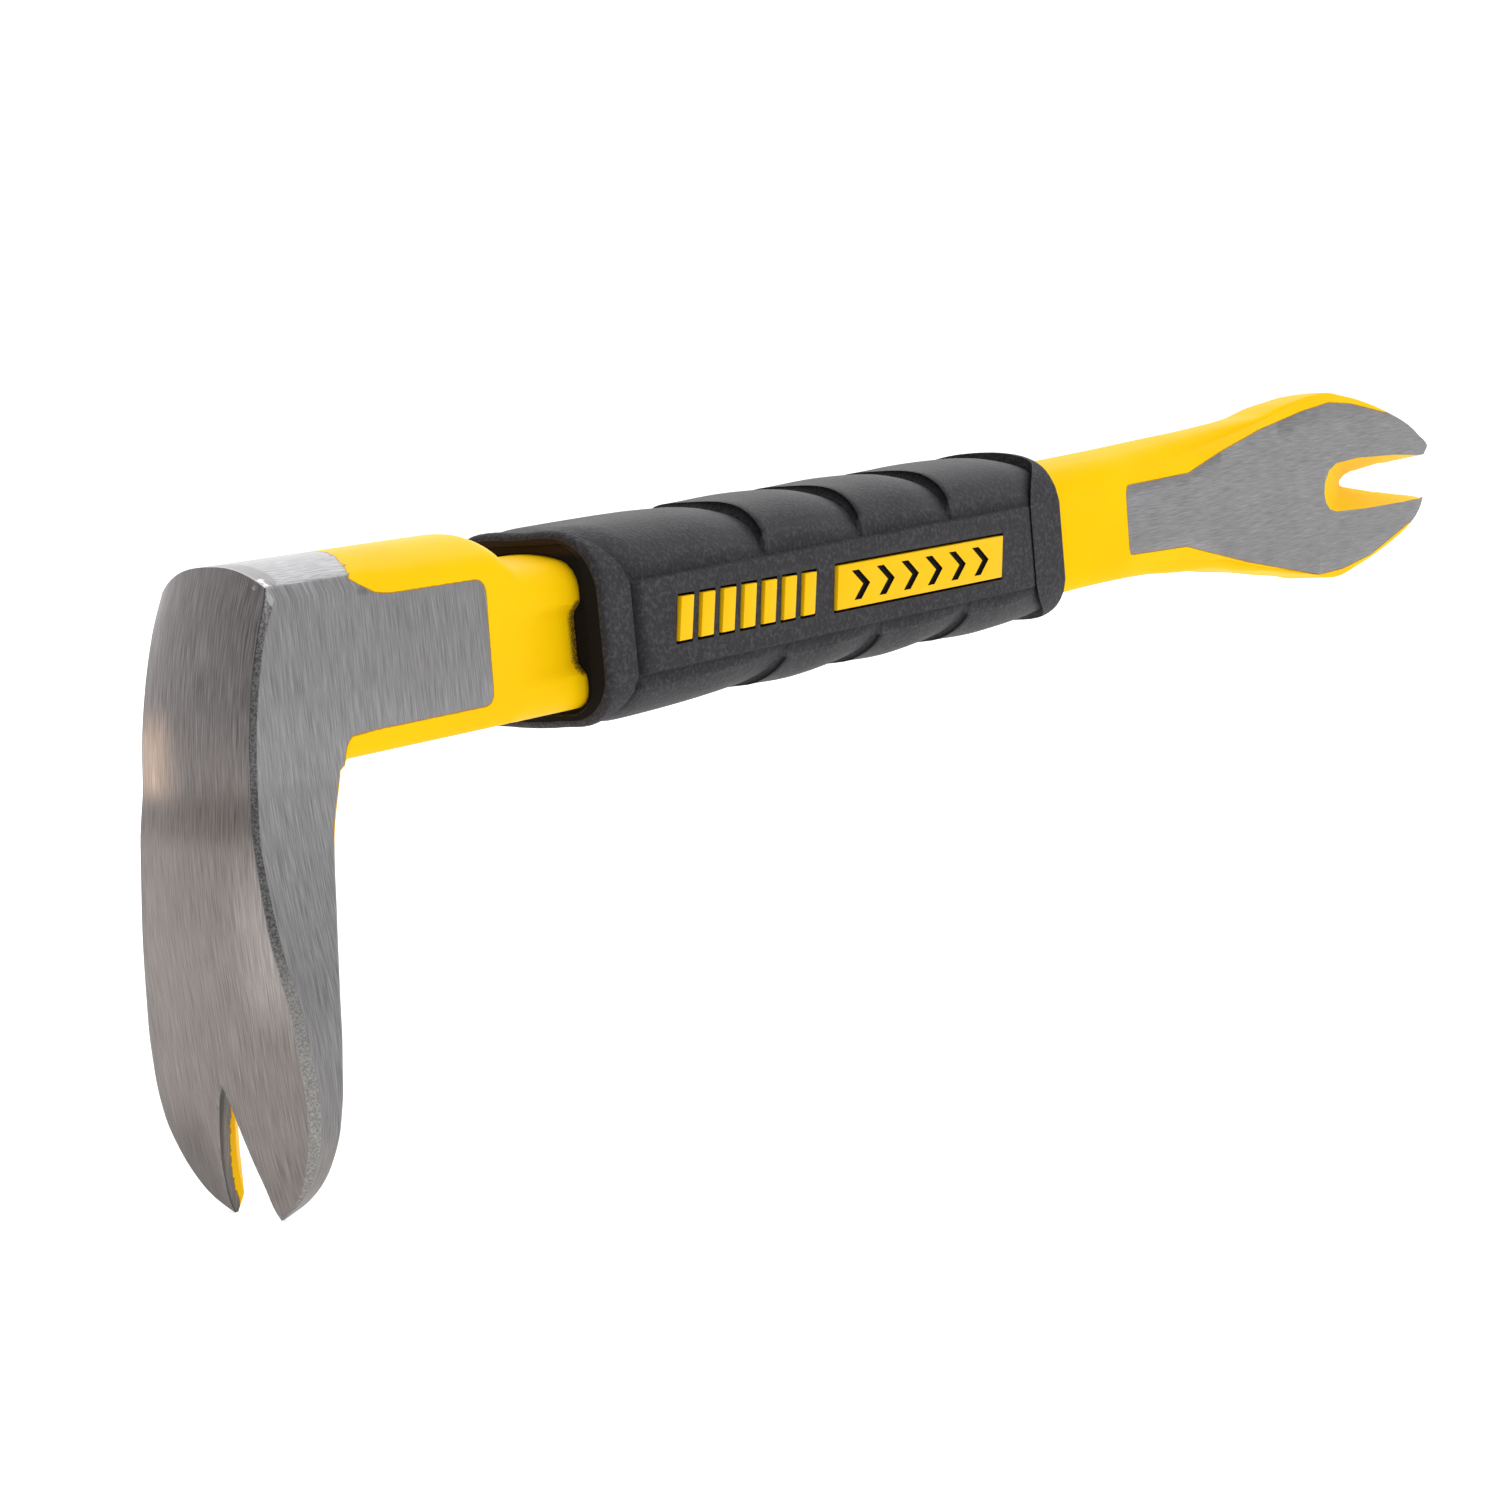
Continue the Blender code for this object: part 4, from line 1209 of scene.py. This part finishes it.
def on_rounded_rectangle(y, z, half_width, half_height, corner):
    """Moves a point straight out from the middle onto a rounded rectangle."""
    low, high = 0.0, 4.0
    for _ in range(30):
        t = (low + high) / 2
        past_y = abs(y) * t - half_width + corner
        past_z = abs(z) * t - half_height + corner
        outside = math.hypot(max(past_y, 0.0), max(past_z, 0.0)) > corner
        if outside or max(past_y, past_z) > corner:
            high = t
        else:
            low = t
    return y * low, z * low


def add_collar(bm):
    """The lip of the mouth, which follows the bar's waisted section closely."""
    outside, inside = [], []
    for past in COLLAR_X:
        x = GRIP_NEAR_X + past
        close, wide = [], []
        for _, y, z in straight_ring(x, SHANK_AT):
            z -= NEAR_MID_Z
            grow = 1.0 + COLLAR_GAP / math.hypot(y, z)
            close.append((x, y * grow, NEAR_MID_Z + z * grow))
            wide_y, wide_z = on_rounded_rectangle(y, z, *COLLAR)
            wide.append((x, wide_y, NEAR_MID_Z + wide_z))
        inside.append(close)
        outside.append(wide)
    tube(bm, outside, inside, material=1, end_material=1)


def build_sleeve(rubber, dark):
    bm = bmesh.new()
    outside = sleeve_outside()
    # The sleeve's end faces take the darker second material: painted shade
    tube(bm, [ring for ring, _, _ in outside], sleeve_bore(), end_material=1)
    add_collar(bm)
    sleeve = finish_mesh("grip_sleeve_moulded", bm)
    grain, crease_shades = [], []
    for ring, rough, crease_shade in outside:
        for k, (x, y, _) in enumerate(ring):
            panel = abs(y) > GRIP_HALF_WIDTH - 0.7
            at_scale = x > CREASES[1] - 1.0
            foot = k in LEDGE_POINTS and rough < 1.0
            grain.append(1.0 if panel else rough)
            # Painted shade at the ledges' feet and in the creases, none on the panels from the first scale
            # crease on
            crease_shades.append(LEDGE_SHADE if foot else 0.0 if panel and at_scale else crease_shade)
    rest = len(sleeve.data.vertices) - len(grain)
    set_attribute(sleeve, "grain", grain + [0.6] * rest)
    set_attribute(sleeve, "crease_shade", crease_shades + [0.0] * rest)
    link(sleeve, rubber, dark)
    for side in (-1, 1):
        for shape in mark_shapes(GAP):
            bm = bmesh.new()
            prism(bm, slanted(*shape), side * WINDOW_Y[0], side * WINDOW_Y[1])
            cutter = finish_mesh("window", bm)
            set_attribute(cutter, "grain", 1.0)
            set_attribute(cutter, "crease_shade", 0.0)
            # The windows' walls take the darker material: painted shade
            cut_with(sleeve, cutter, dark)
    sharpen(sleeve, 24.0)
    return sleeve


def bevelled(obj, width):
    modifier = obj.modifiers.new("bevel", "BEVEL")
    modifier.width = width * MM
    modifier.segments = 2
    modifier.limit_method = "ANGLE"
    modifier.angle_limit = math.radians(40)
    apply_modifiers(obj)


def build_core(plastic, dark):
    bm = bmesh.new()
    outside = [bore_ring(x, *CORE[2:], CORE_CORNER, GRIP_MID_Z) for x in CORE[:2]]
    seat = (SEAT[2] + GAP, SEAT[3] + GAP, SEAT_CORNER)
    tube(bm, outside, [bore_ring(x, *seat, GRIP_MID_Z) for x in CORE[:2]])
    core = finish_mesh("grip_core_moulded", bm)
    link(core, plastic, dark)
    bm = bmesh.new()
    for side in (-1, 1):
        for shape in mark_shapes(0.0):
            prism(bm, slanted(*shape), side * (CORE[2] - MARK_ROOT), side * MARK_FACE)
    cut_with(core, finish_mesh("marks", bm), plastic, "UNION")
    bevelled(core, MARK_BEVEL)
    for side in (-1, 1):
        for outline in chevrons():
            bm = bmesh.new()
            prism(bm, outline, side * (MARK_FACE - CHEVRON_SINK), side * WINDOW_Y[1])
            cut_with(core, finish_mesh("chevron", bm), dark)
    sharpen(core, 30.0)
    return core


# Stage

CAMERA_AT = (-308.49, -224.44, 79.0)
CAMERA_RIGHT = (0.63577, -0.76634, -0.09231)
CAMERA_DOWN = (-0.15984, -0.01371, -0.98705)
CAMERA_FORWARD = (0.75514, 0.64229, -0.13121)
LENS = 72.0
# Lights in metres: name, place, size and power
LIGHTS = (
    ("key", (-0.1, -1.0, 0.75), (1.0, 0.8), 8.0),
    ("top", (0.15, 0.1, 1.2), (1.2, 1.2), 4.0),
)
LIGHT_AIM = (0.0, 0.0, 0.05)
SKY_AXIS = (0.66, 0.56, 0.5)
SKY_STOPS = ((0.08, 0.10), (0.42, 0.34), (0.58, 0.5), (0.82, 1.0), (0.95, 2.0))
SEEN_WHITE = 1.05
FLOOR_HALF_SIZE = 6.0


def build_camera():
    data = bpy.data.cameras.new("camera")
    data.lens = LENS
    data.clip_start = 0.01
    camera = bpy.data.objects.new("camera", data)
    rows = zip(CAMERA_RIGHT, (-v for v in CAMERA_DOWN), (-v for v in CAMERA_FORWARD))
    at = (Vector(CAMERA_AT) - Vector((CENTRE_X, 0.0, 0.0))) * MM
    camera.matrix_world = Matrix.Translation(at) @ Matrix(list(rows)).to_4x4()
    bpy.context.scene.collection.objects.link(camera)
    bpy.context.scene.camera = camera


def area_light(name, at, size, power):
    data = bpy.data.lights.new(name, "AREA")
    data.shape = "RECTANGLE"
    data.size, data.size_y = size
    data.energy = power
    light = bpy.data.objects.new(name, data)
    light.location = at
    light.rotation_euler = (Vector(LIGHT_AIM) - Vector(at)).to_track_quat("-Z", "Y").to_euler()
    bpy.context.scene.collection.objects.link(light)


def build_world():
    """Even light, darker from -X. The camera sees plain white."""
    world = bpy.data.worlds.new("studio")
    bpy.context.scene.world = world
    world.use_nodes = True
    n = Nodes(world.node_tree)
    direction = n.add("TexCoord").outputs["Generated"]
    towards = n.vector("DOT_PRODUCT", direction, SKY_AXIS)["Value"]
    ramp = n.add("ValToRGB", [(0, n.range(towards, -1.0, 1.0, kind="LINEAR"))])
    stops = ramp.color_ramp.elements
    while len(stops) < len(SKY_STOPS):
        stops.new(0.5)
    for stop, (at, level) in zip(stops, SKY_STOPS):
        stop.position = at
        stop.color = (level, level, level, 1.0)
    seen = n.add("LightPath").outputs["Is Camera Ray"]
    background = n.tree.nodes["Background"]
    n.put(background.inputs["Strength"], n.mix_value(seen, ramp.outputs[0], SEEN_WHITE))
    n.put(background.inputs["Color"], (1.0, 1.0, 1.0))


def build_floor():
    bm = bmesh.new()
    bmesh.ops.create_grid(bm, x_segments=8, y_segments=8, size=FLOOR_HALF_SIZE)
    floor = finish_mesh("floor", bm)
    link(floor, floor_material())


def main():
    bpy.context.scene.view_settings.view_transform = "Standard"
    build_camera()
    build_world()
    build_floor()
    for light in LIGHTS:
        area_light(*light)

    dark = dark_material()
    bar = build_bar(bar_material(), bar_material(walls=True))
    core = build_core(plastic_material(), dark)
    sleeve = build_sleeve(rubber_material(), dark)
    for piece, node, slot in (
        (bar, "steel_bar", "coated_steel"),
        (core, "grip_core", "core_plastic"),
        (sleeve, "grip_sleeve", "sleeve_rubber"),
    ):
        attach(piece, "root")
        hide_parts(node)


main()
